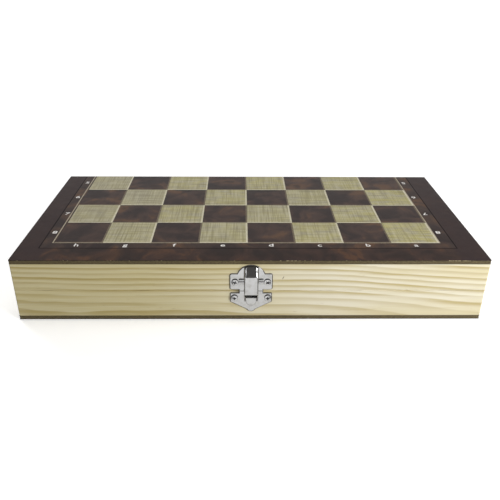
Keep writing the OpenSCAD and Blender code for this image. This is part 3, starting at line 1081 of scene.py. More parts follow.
def lathed(name: str, profile: Sequence[Pair], steps: int = 40) -> Object:
    """Turns a profile about Z into a closed solid.

    Args:
        name: Name of the solid.
        profile: Pairs of a radius and a height. They start and end on the axis, or else make a closed ring.
        steps: Corners round the solid.

    Returns:
        The solid.
    """
    draft = bmesh.new()
    rings = []
    ring_shaped = profile[0][0] > 0.0
    for radius, height in profile:
        if radius == 0.0:
            rings.append([draft.verts.new((0.0, 0.0, height))])
            continue
        turns = [math.tau * i / steps for i in range(steps)]
        rings.append([draft.verts.new((radius * math.cos(t), radius * math.sin(t), height)) for t in turns])
    following = rings[1:] + rings[:1] if ring_shaped else rings[1:]
    for low, high in zip(rings, following):
        for i in range(steps):
            j = i + 1
            corners = [low[i % len(low)], low[j % len(low)], high[j % len(high)], high[i % len(high)]]
            draft.faces.new(list(dict.fromkeys(corners)))
    return from_draft(name, draft)


def pin_along_x(name: str, middle: Vector, side: Sequence[Pair], steps: int) -> Object:
    """A pin along X, the same at both ends.

    Args:
        name: Its name.
        middle: Where its middle goes.
        side: One half of its outline: pairs of a radius and a distance from the middle, ending on the axis.
        steps: Corners round it.

    Returns:
        The pin, in place.
    """
    profile = [(radius, -out) for radius, out in reversed(side)] + list(side)
    lying = turn(90, "Y")
    return moved(smoothed(lathed(name, profile, steps)), lying, Matrix.Translation(middle))


def arc(centre: Pair, radius: float, start: float, end: float,
        steps: int) -> list[Pair]:
    """Points along an arc, with both its ends.

    Args:
        centre: Its centre.
        radius: Its radius.
        start: Angle of the first point, in degrees.
        end: Angle of the last point, in degrees.
        steps: Number of stretches between the points.

    Returns:
        The points.
    """
    angles = [math.radians(start + (end - start) * i / steps) for i in range(steps + 1)]
    return [(centre[0] + radius * math.cos(a), centre[1] + radius * math.sin(a)) for a in angles]


@dataclass(frozen=True)
class Screw:
    """A wood screw with a cross recess.

    Its origin is under the head, on the sheet that it holds, and +Z looks out.
    """

    head: Head
    head_r: float
    head_h: float
    shank_r: float
    length: float
    recess_len: float = 2.5 * MM
    recess_w: float = 0.62 * MM
    recess_depth: float = 0.85 * MM
    core_share: float = 0.74
    pitch: float = 0.9 * MM
    recess_taper: Pair = (0.5, 0.7)
    crown_share: float = 3.2
    dome_steps: int = 8
    edge_w: float = 0.35 * MM
    edge_h: float = 0.3 * MM
    edge_angles: tuple[float, ...] = (0.0, 0.35, 0.7, 1.05, 1.35)
    foot: Pair = (0.1 * MM, 0.12 * MM)
    sunk_rim: tuple[Pair, ...] = ((0.05 * MM, 0.08 * MM), (0.0, 0.03 * MM), (0.06 * MM, 0.0))
    neck_bend: Pair = (0.8 * MM, 0.5 * MM)
    tip_r: float = 0.12 * MM
    tip_h: float = 0.1 * MM
    taper: float = 1.4 * MM
    thread_gap: float = 0.9 * MM
    bare_tip: float = 1.5 * MM
    # The recess below this depth under the crown, and a pan head's foot within this width of its edge, are
    # painted dark: dirt and painted shade.
    grime_top: float = 0.3 * MM
    grime_foot: float = 0.14 * MM
    crease: float = 34.0

    @property
    def crown(self) -> float:
        """Height of the head's highest point."""
        return 0.0 if self.head is Head.SUNK else self.head_h

    @property
    def neck(self) -> float:
        """How far the head reaches below the origin."""
        return self.head_h if self.head is Head.SUNK else 0.0

    def head_profile(self) -> list[Pair]:
        """The outline of the head from the shank to the crown, ending on the axis."""
        if self.head is Head.SUNK:
            rim = [(self.head_r - inwards, -down) for inwards, down in self.sunk_rim]
            return [(self.shank_r, -self.head_h), *rim, (0.0, 0.0)]
        crown_r = self.head_r * self.crown_share
        centre_h = self.head_h - crown_r
        share = [i / self.dome_steps for i in range(self.dome_steps, 0, -1)]
        edge_r = self.head_r - self.edge_w
        dome = [(edge_r * s, centre_h + math.sqrt(crown_r ** 2 - (edge_r * s) ** 2)) for s in share]
        shoulder = dome[0][1] - self.edge_h
        bend = [(edge_r + self.edge_w * math.cos(a), shoulder + self.edge_h * math.sin(a))
                for a in self.edge_angles]
        foot = [(self.head_r - self.foot[0], 0.0), (self.head_r, self.foot[1])]
        return [(self.shank_r, 0.0), *foot, *bend, *dome, (0.0, self.head_h)]

    def recess_cutter(self) -> Object:
        """A cross that narrows downwards, to be cut out of the head."""
        draft = bmesh.new()
        rings = []
        over = 0.2 * MM
        floor = self.crown - self.recess_depth
        for height, length, width in ((self.crown + over, 1.0, 1.0), (floor, *self.recess_taper)):
            reach = self.recess_len / 2 * length
            half = self.recess_w / 2 * width
            corner = [(reach, -half), (reach, half), (half, half)]
            outline = []
            for quarter in range(4):
                c = math.cos(quarter * math.pi / 2)
                s = math.sin(quarter * math.pi / 2)
                outline += [(x * c - y * s, x * s + y * c) for x, y in corner]
            rings.append([draft.verts.new((x, y, height)) for x, y in outline])
        upper, lower = rings
        draft.faces.new(upper)
        draft.faces.new(lower)
        for i in range(len(upper)):
            j = (i + 1) % len(upper)
            draft.faces.new((upper[i], upper[j], lower[j], lower[i]))
        return from_draft("recess_cutter", draft)

    def holds_grime(self, spot: Vector, normal: Vector) -> bool:
        """Whether a face lies in the recess or low on the head's wall, which are painted dark: partly dirt
        and polish, partly painted shade.
        """
        out = math.hypot(spot.x, spot.y)
        looks_up = 0.8
        just_below = 0.02 * MM
        if out < self.recess_len / 2 and spot.z > self.crown - self.recess_depth - just_below:
            return normal.z < looks_up or spot.z < self.crown - self.grime_top
        return self.head is Head.PAN and out > self.head_r - self.grime_foot and spot.z > 0.0

    def make(self, thread: Growth, finish: Material, grime_and_shade: Material) -> Object:
        """Builds one screw as a pattern for the rows.

        Args:
            thread: The tree that winds the thread.
            finish: Its material.
            grime_and_shade: The dark material of its recess and of the foot of its head, which stands for
                dirt and for painted shade.

        Returns:
            The screw, which its user removes.
        """
        core = self.shank_r * self.core_share
        tip = -self.length
        low, high = self.neck_bend
        shank = [(0.0, tip), (self.tip_r, tip + self.tip_h), (core, tip + self.taper),
                 (core, -self.neck - low), (self.shank_r, -self.neck - high)]
        screw = cut_out(lathed("screw_body", shank + self.head_profile()), self.recess_cutter())
        smoothed(screw, self.crease)
        screw.data.materials.append(finish)
        screw.data.materials.append(grime_and_shade)
        # The recess and the foot of a pan head are painted dark, partly as dirt, partly as painted shade.
        for face in screw.data.polygons:
            face.material_index = int(self.holds_grime(face.center, face.normal))
        threaded = self.length - self.neck - self.thread_gap - self.bare_tip
        wound = thread.grow("screw_thread", {
            "Core": core, "Crest": self.shank_r, "Length": threaded, "Pitch": self.pitch, "Finish": finish,
        })
        moved(wound, shift(0.0, 0.0, -self.neck - self.thread_gap))
        return merged("screw_pattern", [screw, wound])


@dataclass(frozen=True)
class ScrewRow:
    """Screws of one kind in a row, made from one pattern."""

    screw: Screw
    seed: int
    groups: int = 1
    group_spacing: float = 0.0
    count: int = 2
    spacing: float = 0.0

    def make(self, name: str, trees: tuple[Growth, Growth], finish: Material, grime_and_shade: Material,
             *steps: Matrix) -> Object:
        """Builds the row.

        Args:
            name: Name of the piece.
            trees: The trees for the row and for the thread.
            finish: The screws' material.
            grime_and_shade: The dark material of their recesses and the feet of their heads, which stands for
                dirt and for painted shade.
            steps: How the row gets from the origin to its place.

        Returns:
            The row as one mesh, in place.
        """
        row, thread = trees
        pattern = self.screw.make(thread, finish, grime_and_shade)
        piece = row.grow(name, {
            "Screw": pattern, "Groups": self.groups, "Group Spacing": self.group_spacing, "Count": self.count,
            "Spacing": self.spacing, "Seed": self.seed, "Finish": finish,
        })
        bpy.data.objects.remove(pattern)
        return moved(smoothed(piece, self.screw.crease), *steps)


def band_sheet(name: str, xs: Sequence[tuple[float, int]], ys: Sequence[tuple[float, int]], low: float,
               high: float, materials: Sequence[Material], left_out: int | None = None) -> Object:
    """A thin sheet whose face is parted into bands by lines along X and along Y.

    Args:
        name: Name of the sheet.
        xs: Where each line across X lies, with the number of the band that starts there.
        ys: The same along Y.
        low: Height of its underside.
        high: Height of its upper side.
        materials: The material of each band. Where bands cross, the lower number wins.
        left_out: Number of a band that is left open, for another piece to fill.

    Returns:
        The sheet.
    """
    draft = bmesh.new()
    corners = [[draft.verts.new((x, y, low)) for y, _ in ys] for x, _ in xs]
    for i, (_, band_x) in enumerate(xs[:-1]):
        for j, (_, band_y) in enumerate(ys[:-1]):
            band = min(band_x, band_y)
            if band != left_out:
                outline = [corners[i + a][j + b] for a, b in ((0, 0), (1, 0), (1, 1), (0, 1))]
                draft.faces.new(outline).material_index = band
    loose = [v for v in draft.verts if not v.link_faces]
    bmesh.ops.delete(draft, geom=loose, context="VERTS")
    top = bmesh.ops.extrude_face_region(draft, geom=list(draft.faces), use_keep_orig=True)
    raised = [v for v in top["geom"] if isinstance(v, bmesh.types.BMVert)]
    bmesh.ops.translate(draft, verts=raised, vec=(0.0, 0.0, high - low))
    sheet = from_draft(name, draft)
    for material in materials:
        sheet.data.materials.append(material)
    return sheet


def round_corners(sheet: Object, radius: float, edge: float, steps: int = 5) -> Object:
    """Rounds the four upright corners of a sheet, and breaks its long edges a little.

    Args:
        sheet: The sheet.
        radius: Radius of the corners.
        edge: Width of the broken edges.
        steps: Faces round each corner.

    Returns:
        The sheet.
    """
    draft = bmesh.new()
    draft.from_mesh(sheet.data)
    weight = draft.edges.layers.float.new(EDGE_WEIGHT)
    low = Vector([min(v.co[i] for v in draft.verts) for i in range(3)])
    high = Vector([max(v.co[i] for v in draft.verts) for i in range(3)])

    def outer(vert: bmesh.types.BMVert, axis: int) -> bool:
        """Whether a corner lies on the sheet's outline along this axis."""
        return min(abs(vert.co[axis] - low[axis]), abs(vert.co[axis] - high[axis])) < SAME_PLACE

    for line in draft.edges:
        a, b = line.verts
        upright = abs(a.co.z - b.co.z) > SAME_PLACE
        if upright and outer(a, 0) and outer(a, 1):
            line[weight] = 1.0
        elif not upright and any(outer(a, axis) and outer(b, axis) for axis in (0, 1)):
            along = 0 if abs(a.co.x - b.co.x) > abs(a.co.y - b.co.y) else 1
            if outer(a, 1 - along) and outer(b, 1 - along):
                line[weight] = edge / radius
    draft.to_mesh(sheet.data)
    draft.free()
    return softened(sheet, radius, segments=steps, by_weight=True)


def lettering(text: str, height: float, wide: float, thickness: float, place: Matrix,
              ink: Material) -> Object:
    """One printed letter or number as thin solid ink.

    Args:
        text: The letter.
        height: Height of a capital letter.
        wide: How many times its usual width it has.
        thickness: Thickness of the ink.
        place: Where its middle goes, and how it is turned.
        ink: Its material.

    Returns:
        The letter as a mesh.
    """
    capital_share = 0.73
    stroke_gain = 0.015
    steps_a_curve = 6
    curve = bpy.data.curves.new(f"letter_{text}", "FONT")
    curve.body = text
    curve.size = height / capital_share
    curve.extrude = thickness / 2
    curve.offset = height * stroke_gain
    curve.resolution_u = steps_a_curve
    curve.align_x = "CENTER"
    source = linked(f"letter_{text}", curve)
    graph = bpy.context.evaluated_depsgraph_get()
    mesh = bpy.data.meshes.new_from_object(source.evaluated_get(graph), depsgraph=graph)
    bpy.data.objects.remove(source)
    mesh.transform(Matrix.Diagonal((wide, 1.0, 1.0, 1.0)) @ shift(0.0, -height / 2, 0.0))
    mesh.transform(place)
    mesh.materials.clear()
    mesh.materials.append(ink)
    return linked(f"letter_{text}", mesh)


@dataclass
class ChessPrint:
    """The printed outside of one half: squares, label band and burl border, with letters and numbers."""

    half: Half
    square: float = 30.55 * MM
    files: int = 8
    ranks: int = 4
    middle_x: float = -1.9 * MM
    field_front: float = 23.6 * MM
    left_steps: tuple[float, ...] = (1.1 * MM, 0.7 * MM, 5.9 * MM, 0.7 * MM)
    right_steps: tuple[float, ...] = (0.6 * MM, 7.9 * MM, 0.7 * MM)
    front_steps: tuple[float, ...] = (0.4 * MM, 6.9 * MM, 0.7 * MM)
    edge: float = 1.1 * MM
    trim: float = 0.6 * MM
    ink: float = 0.02 * MM
    corner_r: float = 1.0 * MM
    letter_h: float = 3.9 * MM
    letter_out: float = 3.2 * MM
    number_out: float = 3.8 * MM
    letter_shift: float = 0.5 * MM
    wide: float = 1.25
    file_letters: str = "hgfedcba"
    broken_edge: float = 0.05 * MM

    @property
    def node(self) -> str:
        """The CAD node that the print stands for."""
        return f"{self.half.value}_outer_print"

    @property
    def low(self) -> Vector:
        """The field's front left corner, seen from above through the box."""
        box_low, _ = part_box(self.node)
        return Vector((self.middle_x - self.square * self.files / 2, box_low.y + self.field_front, 0.0))

    def squares(self) -> Squares:
        """The squares, as the finishes need them."""
        return Squares(self.low.x, self.low.y, self.square)

    def heights(self) -> Pair:
        """Lowest and highest level of the sheet, with room left for the ink on its outer face."""
        box_low, box_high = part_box(self.node)
        if self.half.faces_up:
            return box_low.z, box_high.z - self.ink
        return box_low.z + self.ink, box_high.z

    def border(self, finishes: Finishes) -> Object:
        """The border: burl, a thin dark line, the label band, the pale line and a strip left of the field."""
        box_low, box_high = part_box(self.node)
        left = self.low.x + self.trim
        right = self.low.x + self.square * self.files
        front = self.low.y
        outwards = (Band.PALE_LINE, Band.LABELS, Band.DARK_LINE)
        xs = [(left, Band.FIELD)]
        for band, step in zip((Band.DARK_STRIP, *outwards), self.left_steps):
            left -= step
            xs.insert(0, (left, band))
        for band, step in zip(outwards, self.right_steps):
            xs.append((right, band))
            right += step
        ys = [(front, Band.FIELD)]
        for band, step in zip(outwards, self.front_steps):
            front -= step
            ys.insert(0, (front, band))
        xs = [(box_low.x, Band.BORDER), *xs, (right, Band.BORDER), (box_high.x, Band.BORDER)]
        ys = [(box_low.y, Band.BORDER), *ys, (box_high.y, Band.BORDER)]
        paints = [finishes[name] for name in ("border", "dark_line", "label_band", "pale_line", "label_band")]
        sheet = band_sheet("border", xs, ys, *self.heights(), paints, left_out=Band.FIELD)
        return round_corners(sheet, self.corner_r, self.broken_edge)

    def field_of_squares(self, tree: Growth, finishes: Finishes) -> Object:
        """The squares, made by the tree for chess fields, cut at the dark strip and the board's back edge."""
        low, high = self.heights()
        field_sheet = tree.grow("field", {
            "Files": self.files, "Ranks": self.ranks, "Square": self.square, "Edge": self.edge,
            "Thickness": high - low, "Corner": (self.low.x, self.low.y, low),
            "Light First": 0 if self.half.faces_up else 1,
            "Dark": finishes["dark_square"], "Light": finishes["light_square"],
            "Dark Edge": finishes["dark_edge"], "Light Edge": finishes["light_edge"],
        })
        for vert in field_sheet.data.vertices:
            vert.co.x = max(vert.co.x, self.low.x + self.trim)
            vert.co.y = min(vert.co.y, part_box(self.node)[1].y)
        return field_sheet

    def labels(self, ink: Material) -> list[Object]:
        """The letters along the front and the numbers up both sides."""
        low, high = self.heights()
        face_z = high + self.ink / 2 if self.half.faces_up else low - self.ink / 2
        facing = Matrix.Identity(4) if self.half.faces_up else turn(180, "Y")
        turned = turn(180, "Z")
        made = []
        for i in range(self.files):
            x = self.low.x + (i + 0.5) * self.square - self.letter_shift
            y = self.low.y - self.letter_out
            place = shift(x, y, face_z) @ facing
            made.append(lettering(self.file_letters[i], self.letter_h, self.wide, self.ink, place, ink))
        for rank in range(self.ranks):
            number = str(2 * self.ranks - rank if self.half.faces_up else rank + 1)
            y = self.low.y + (rank + 0.5) * self.square
            left_x = self.low.x - self.number_out
            right_x = self.low.x + self.files * self.square + self.number_out
            for x, reads_outwards in ((left_x, not self.half.faces_up), (right_x, self.half.faces_up)):
                place = shift(x, y, face_z) @ facing @ (turned if reads_outwards else Matrix.Identity(4))
                made.append(lettering(number, self.letter_h, self.wide, self.ink, place, ink))
        return made

    def build(self, tree: Growth, finishes: Finishes) -> None:
        """Makes the printed sheet and puts it in place of its CAD node."""
        parts = [self.border(finishes), self.field_of_squares(tree, finishes), *self.labels(finishes["ink"])]
        piece = merged(f"{self.half.value}_chess_print", parts)
        settled(piece, self.half.body, "outer_print", self.node)


@dataclass
class BackgammonPrint:
    """The printed inside of one half: a pale ground with two rows of long points."""

    half: Half
    points: int = 6
    point_share: float = 0.4
    outline: float = 0.45 * MM
    ink: float = 0.02 * MM
    margin: float = 2.2 * MM
    line: float = 0.6 * MM
    point_width: float = 0.86
    outline_tip: float = 3
    corner_r: float = 1.0 * MM
    broken_edge: float = 0.04 * MM

    @property
    def node(self) -> str:
        """The CAD node that the print stands for."""
        return f"{self.half.value}_inner_print"

    def room(self) -> tuple[Vector, Vector]:
        """The floor between the rails, as its two corners."""
        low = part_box(f"{self.half.value}_left_rail")[1]
        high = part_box(f"{self.half.value}_right_rail")[0]
        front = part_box(f"{self.half.value}_front_rail")[1].y
        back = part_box(f"{self.half.value}_back_rail")[0].y
        return Vector((low.x, front, 0.0)), Vector((high.x, back, 0.0))

    def bands(self, sheet: Pair, room: Pair) -> list[tuple[float, int]]:
        """Where the sheet's edge, its frame line and its ground start along one axis, with their numbers."""
        near = room[0] + self.margin
        far = room[1] - self.margin
        inner = [(near, 1), (near + self.line, 2), (far - self.line, 1)]
        return [(sheet[0], 0), *inner, (far, 0), (sheet[1], 0)]

    def ground(self, finishes: Finishes) -> Object:
        """The sheet, with a thin dark frame a little inside the rails."""
        box_low, box_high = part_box(self.node)
        low, high = self.room()
        xs = self.bands((box_low.x, box_high.x), (low.x, high.x))
        ys = self.bands((box_low.y, box_high.y), (low.y, high.y))
        paints = [finishes[name] for name in ("inner_border", "dark_line", "inner_ground")]
        sheet = band_sheet("ground", xs, ys, box_low.z, box_high.z, paints)
        return round_corners(sheet, self.corner_r, self.broken_edge)

    def rows(self, tree: Growth, finishes: Finishes) -> list[Object]:
        """The points, each on a slightly larger dark point that shows as its outline."""
        low, high = self.room()
        sheet_low, sheet_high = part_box(self.node)
        inset = self.margin + self.line
        pitch = (high.y - low.y - 2 * inset) / self.points
        length = (high.x - low.x) * self.point_share
        layers = ((2 * self.outline, "dark_line", "dark_line"), (0.0, "dark_point", "warm_point"))
        made = []
        for layer, (grow, odd, even) in enumerate(layers):
            thickness = self.ink * (1 + layer)
            floor = sheet_high.z if self.half is Half.LOWER else sheet_low.z - thickness
            made.append(tree.grow(f"points_{layer}", {
                "Count": self.points, "Pitch": pitch, "Width": pitch * self.point_width + grow,
                "Length": length + grow * self.outline_tip, "Thickness": thickness, "Wall": high.x - inset,
                "Low": (0.0, low.y + inset, floor), "Swap": 0 if self.half is Half.LOWER else 1,
                "Odd": finishes[odd], "Even": finishes[even],
            }))
        return made

    def build(self, tree: Growth, finishes: Finishes) -> None:
        """Makes the printed sheet and puts it in place of its CAD node."""
        parts = [self.ground(finishes), *self.rows(tree, finishes)]
        piece = merged(f"{self.half.value}_backgammon_print", parts)
        settled(piece, self.half.body, "inner_print", self.node)


@dataclass
class WoodenTray:
    """The panel and the four rails of one half."""

    half: Half
    panel_round: float = 0.12 * MM
    rail_round: float = 0.18 * MM

    def build(self, finishes: Finishes) -> None:
        """Makes the panel and the rails and puts them in place of their CAD nodes."""
        name = self.half.value
        panel = softened(cad_copy(f"{name}_board_panel", f"{name}_fibreboard"), self.panel_round)
        settled(panel, self.half.body, "fibreboard", f"{name}_board_panel", finish=finishes[f"{name}_panel"])
        for side in ("front", "back", "left", "right"):
            node = f"{name}_{side}_rail"
            rail = softened(cad_copy(node, f"{node}_pine"), self.rail_round)
            settled(rail, self.half.body, "pine", node, finish=finishes[f"{side}_pine"])


@dataclass
class ButtHinges:
    """Both hinges at the back: leaves, pins with spread ends and countersunk screws."""

    leaf_round: float = 0.09 * MM
    pin_r: float = 0.7 * MM
    cap_r: float = 1.05 * MM
    cap_t: float = 0.5 * MM
    cap_lip: float = 0.04 * MM
    dome_share: float = 0.65
    dome_step: int = 18
    pin_steps: int = 32
    screw: Screw = Screw(Head.SUNK, head_r=1.7 * MM, head_h=0.67 * MM, shank_r=0.95 * MM, length=7.95 * MM,
                         recess_len=1.9 * MM, recess_w=0.45 * MM, recess_depth=0.5 * MM)
    screw_spacing: float = 15.0 * MM
    screw_y: float = -4.8 * MM
    leaf_clear: float = 0.08 * MM
    screw_seed: int = 11

    def pin(self, node: str, name: str) -> Object:
        """A hinge pin whose ends are spread into small domes."""
        low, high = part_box(node)
        half = (high.x - low.x) / 2
        neck = half - self.cap_t
        rise = self.cap_t * self.dome_share
        foot = neck + self.cap_t * (1 - self.dome_share)
        dome = [(self.cap_r * math.cos(a), foot + rise * math.sin(a))
                for a in (math.radians(d) for d in range(0, 90, self.dome_step))]
        side = [(self.pin_r, neck), (self.cap_r - self.cap_lip, neck), *dome, (0.0, half)]
        return pin_along_x(name, (low + high) / 2, side, self.pin_steps)

    def build(self, trees: tuple[Growth, Growth], finishes: Finishes) -> None:
        """Makes both hinges and puts them in place of their CAD nodes."""
        nickel = finishes["nickel"]
        for side in ("left", "right"):
            for half in Half:
                node = f"hinge_{side}_{half.value}_leaf"
                leaf = softened(cad_copy(node, f"{node}_plate"), self.leaf_round)
                settled(leaf, half.body, "nickel", node, finish=nickel)
            node = f"hinge_{side}_pin"
            settled(self.pin(node, f"{node}_rod"), Half.LOWER.body, "nickel", node, finish=nickel)
        axis = joint_place("lid_hinge")
        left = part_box("hinge_left_pin")
        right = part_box("hinge_right_pin")
        spacing = (right[0].x + right[1].x - left[0].x - left[1].x) / 2
        row = ScrewRow(self.screw, self.screw_seed, groups=2, group_spacing=spacing,
                       spacing=self.screw_spacing)
        for half in Half:
            turned = Matrix.Identity(4) if half is Half.LOWER else turn(180, "X")
            leaf_z = axis.z + (self.leaf_clear if half is Half.UPPER else -self.leaf_clear)
            place = shift(0.0, axis.y + self.screw_y, leaf_z)
            node = f"hinge_{half.value}_screws"
            piece = row.make(f"{node}_set", trees, nickel, finishes["grime_and_shade"], turned, place)
            settled(piece, half.body, "nickel", node)


@dataclass(frozen=True)
class BentLever:
    """The lever's bent sheet.

    Lengths are in millimetres: levels go up from the seam, and depths out from the box's front. The walls
    are the sheet's two sides, bent back towards the wood.
    """

    half_w: float = 4.3
    tab_half_w: float = 3.3
    top: float = 17.9
    end: float = -9.6
    shoulder_r: float = 2.4
    sheet_t: float = 0.65
    neck: Pair = (-5.5, -3.3)
    bends: tuple[Pair, ...] = ((17.9, 2.9), (11.3, 5.0), (-0.1, 5.0), (-4.3, 2.4), (-9.6, 2.4))
    bend_reach: float = 0.5
    wall: tuple[Pair, ...] = (
        (17.9, 2.35), (9.2, 1.25), (6.9, 0.95), (-3.115, 0.95), (-4.115, 1.75))
    pivot: Pair = (6.9, 1.4)
    ear_r: float = 1.3
    bore_r: float = 0.75
    roll: Pair = (0.8, 2.2)
    hood: Pair = (9.8, 15.5)
    level_step: float = 0.25
    roll_steps: int = 6
    tip_start: float = -84.0
    tip_steps: int = 12
    shoulder_steps: int = 10
    least_depth: float = 0.08
    crease: float = 38.0
    # Rings whose faces, the side walls and the start of the roll, get a darker nickel as painted shade.
    rim_rings: tuple[int, ...] = (1, 2, 3, 4)

    def face(self, level: float) -> float:
        """Depth of the outer face at this level, with the sheet's bends rounded."""
        corners = self.bends
        for (high, a), (low, b) in zip(corners, corners[1:]):
            if level >= low:
                depth = b + (a - b) * (min(level, high) - low) / (high - low)
                break
        else:
            return corners[-1][1]
        reach = self.bend_reach
        for (z0, d0), (z1, d1), (z2, d2) in zip(corners, corners[1:], corners[2:]):
            if abs(level - z1) < reach:
                above = (d0 - d1) / (z0 - z1)
                below = (d1 - d2) / (z1 - z2)
                past = level - z1 + reach
                return d1 + below * (level - z1) + (above - below) * past ** 2 / (4 * reach)
        return depth

    def back(self, level: float) -> float:
        """Depth of the side walls' back edges, or of the sheet's back where it has no walls."""
        depth = self.bends[-1][1] - self.sheet_t
        for (high, a), (low, b) in zip(self.wall, self.wall[1:]):
            if low <= level <= high:
                depth = b + (a - b) * (level - low) / (high - low)
        off = level - self.pivot[0]
        if abs(off) < self.ear_r:
            depth = min(depth, self.pivot[1] - math.sqrt(self.ear_r ** 2 - off ** 2))
        return depth

    def inside(self, level: float) -> float:
        """Depth of the sheet's inner face."""
        near = 0.05
        slope = (self.face(level + near) - self.face(level - near)) / (2 * near)
        return max(self.face(level) - self.sheet_t * math.sqrt(1 + slope ** 2), self.back(level))

    def edge(self) -> list[tuple[float, float, float, float]]:
        """The right edge from the tab's tip up, as across, level and the direction inwards."""
        points = []
        tip = self.end + self.tab_half_w
        for x, z in arc((0.0, tip), self.tab_half_w, self.tip_start, 0.0, self.tip_steps):
            points.append((x, z, -x / self.tab_half_w, (tip - z) / self.tab_half_w))
        straight_end = self.top - self.shoulder_r
        count = round((straight_end - tip) / self.level_step)
        for i in range(1, count + 1):
            level = tip + (straight_end - tip) * i / count
            share = min(max((level - self.neck[0]) / (self.neck[1] - self.neck[0]), 0.0), 1.0)
            gain = self.half_w - self.tab_half_w
            lean = gain * 6 * share * (1 - share) / (self.neck[1] - self.neck[0])
            size = math.hypot(1.0, lean)
            x = self.tab_half_w + gain * share * share * (3 - 2 * share)
            points.append((x, level, -1 / size, lean / size))
        centre = (self.half_w - self.shoulder_r, straight_end)
        for x, z in arc(centre, self.shoulder_r, 0.0, 90.0, self.shoulder_steps)[1:]:
            points.append((x, z, (centre[0] - x) / self.shoulder_r, (centre[1] - z) / self.shoulder_r))
        return points

    def rings(self) -> list[list[Triple]]:
        """Rings of across, level and depth: the inner rim, both back edges, then the roll to the face."""
        right = self.edge()
        loop = right + [(-x, z, -nx, nz) for x, z, nx, nz in reversed(right)]

        def inset(distance: float) -> list[Pair]:
            """The edge moved inwards."""
            return [(x + nx * distance, z + nz * distance) for x, z, nx, nz in loop]

        inner = inset(self.sheet_t)
        made = [
            [(x, z, self.inside(z)) for x, z in inner],
            [(x, z, self.back(z)) for x, z in inner],
            [(x, z, self.back(z)) for x, z in inset(0.0)],
        ]
        for step in range(self.roll_steps + 1):
            angle = math.pi / 2 * step / self.roll_steps
            ring = []
            for x, z, nx, nz in loop:
                share = min(max((z - self.hood[0]) / (self.hood[1] - self.hood[0]), 0.0), 1.0)
                across = self.roll[0] + (self.roll[1] - self.roll[0]) * share * share * (3 - 2 * share)
                moved_in = across * (1 - math.cos(angle))
                level = z + nz * moved_in
                deep = min(across, self.face(level) - self.back(level) - self.least_depth)
                ring.append((x + nx * moved_in, level, self.face(level) - deep * (1 - math.sin(angle))))
            made.append(ring)
        return made

    def make(self, name: str, front_y: float, seam_z: float, finishes: Finishes) -> Object:
        """Builds the lever.

        Args:
            name: Its name.
            front_y: Where the box's front face lies.
            seam_z: Height of the seam.
            finishes: The box's materials.

        Returns:
            The lever, in place.
        """
        draft = bmesh.new()
        rings = []
        for ring in self.rings():
            spots = [(x * MM, front_y - depth * MM, seam_z + level * MM) for x, level, depth in ring]
            rings.append([draft.verts.new(spot) for spot in spots])
        count = len(rings[0])
        for number, (low, high) in enumerate(zip(rings, rings[1:])):
            for i in range(count):
                j = (i + 1) % count
                face = draft.faces.new((low[i], low[j], high[j], high[i]))
                face.material_index = int(number in self.rim_rings)
        for ring in (rings[0], rings[-1]):
            for i in range(count // 2 - 1):
                draft.faces.new((ring[i], ring[i + 1], ring[-2 - i], ring[-1 - i]))
        bmesh.ops.remove_doubles(draft, verts=draft.verts, dist=2 * SAME_PLACE)
        lever = from_draft(name, draft)
        lever.data.materials.append(finishes["lever_nickel"])
        # The lever's sides get a darker nickel: painted shade.
        lever.data.materials.append(finishes["lever_rim_painted_shade"])
        cut_out(lever, self.bore(front_y, seam_z))
        return flat_shaded(smoothed(lever, self.crease))

    def bore(self, front_y: float, seam_z: float) -> Object:
        """A rod as wide as the pin's bore, through both ears, to be cut out of the lever."""
        radius = self.bore_r * MM
        reach = self.half_w * 2 * MM
        rod = lathed("bore", [(0.0, -reach), (radius, -reach), (radius, reach), (0.0, reach)])
        level, depth = self.pivot
        place = shift(0.0, front_y - depth * MM, seam_z + level * MM)
        return moved(rod, turn(90, "Y"), place)


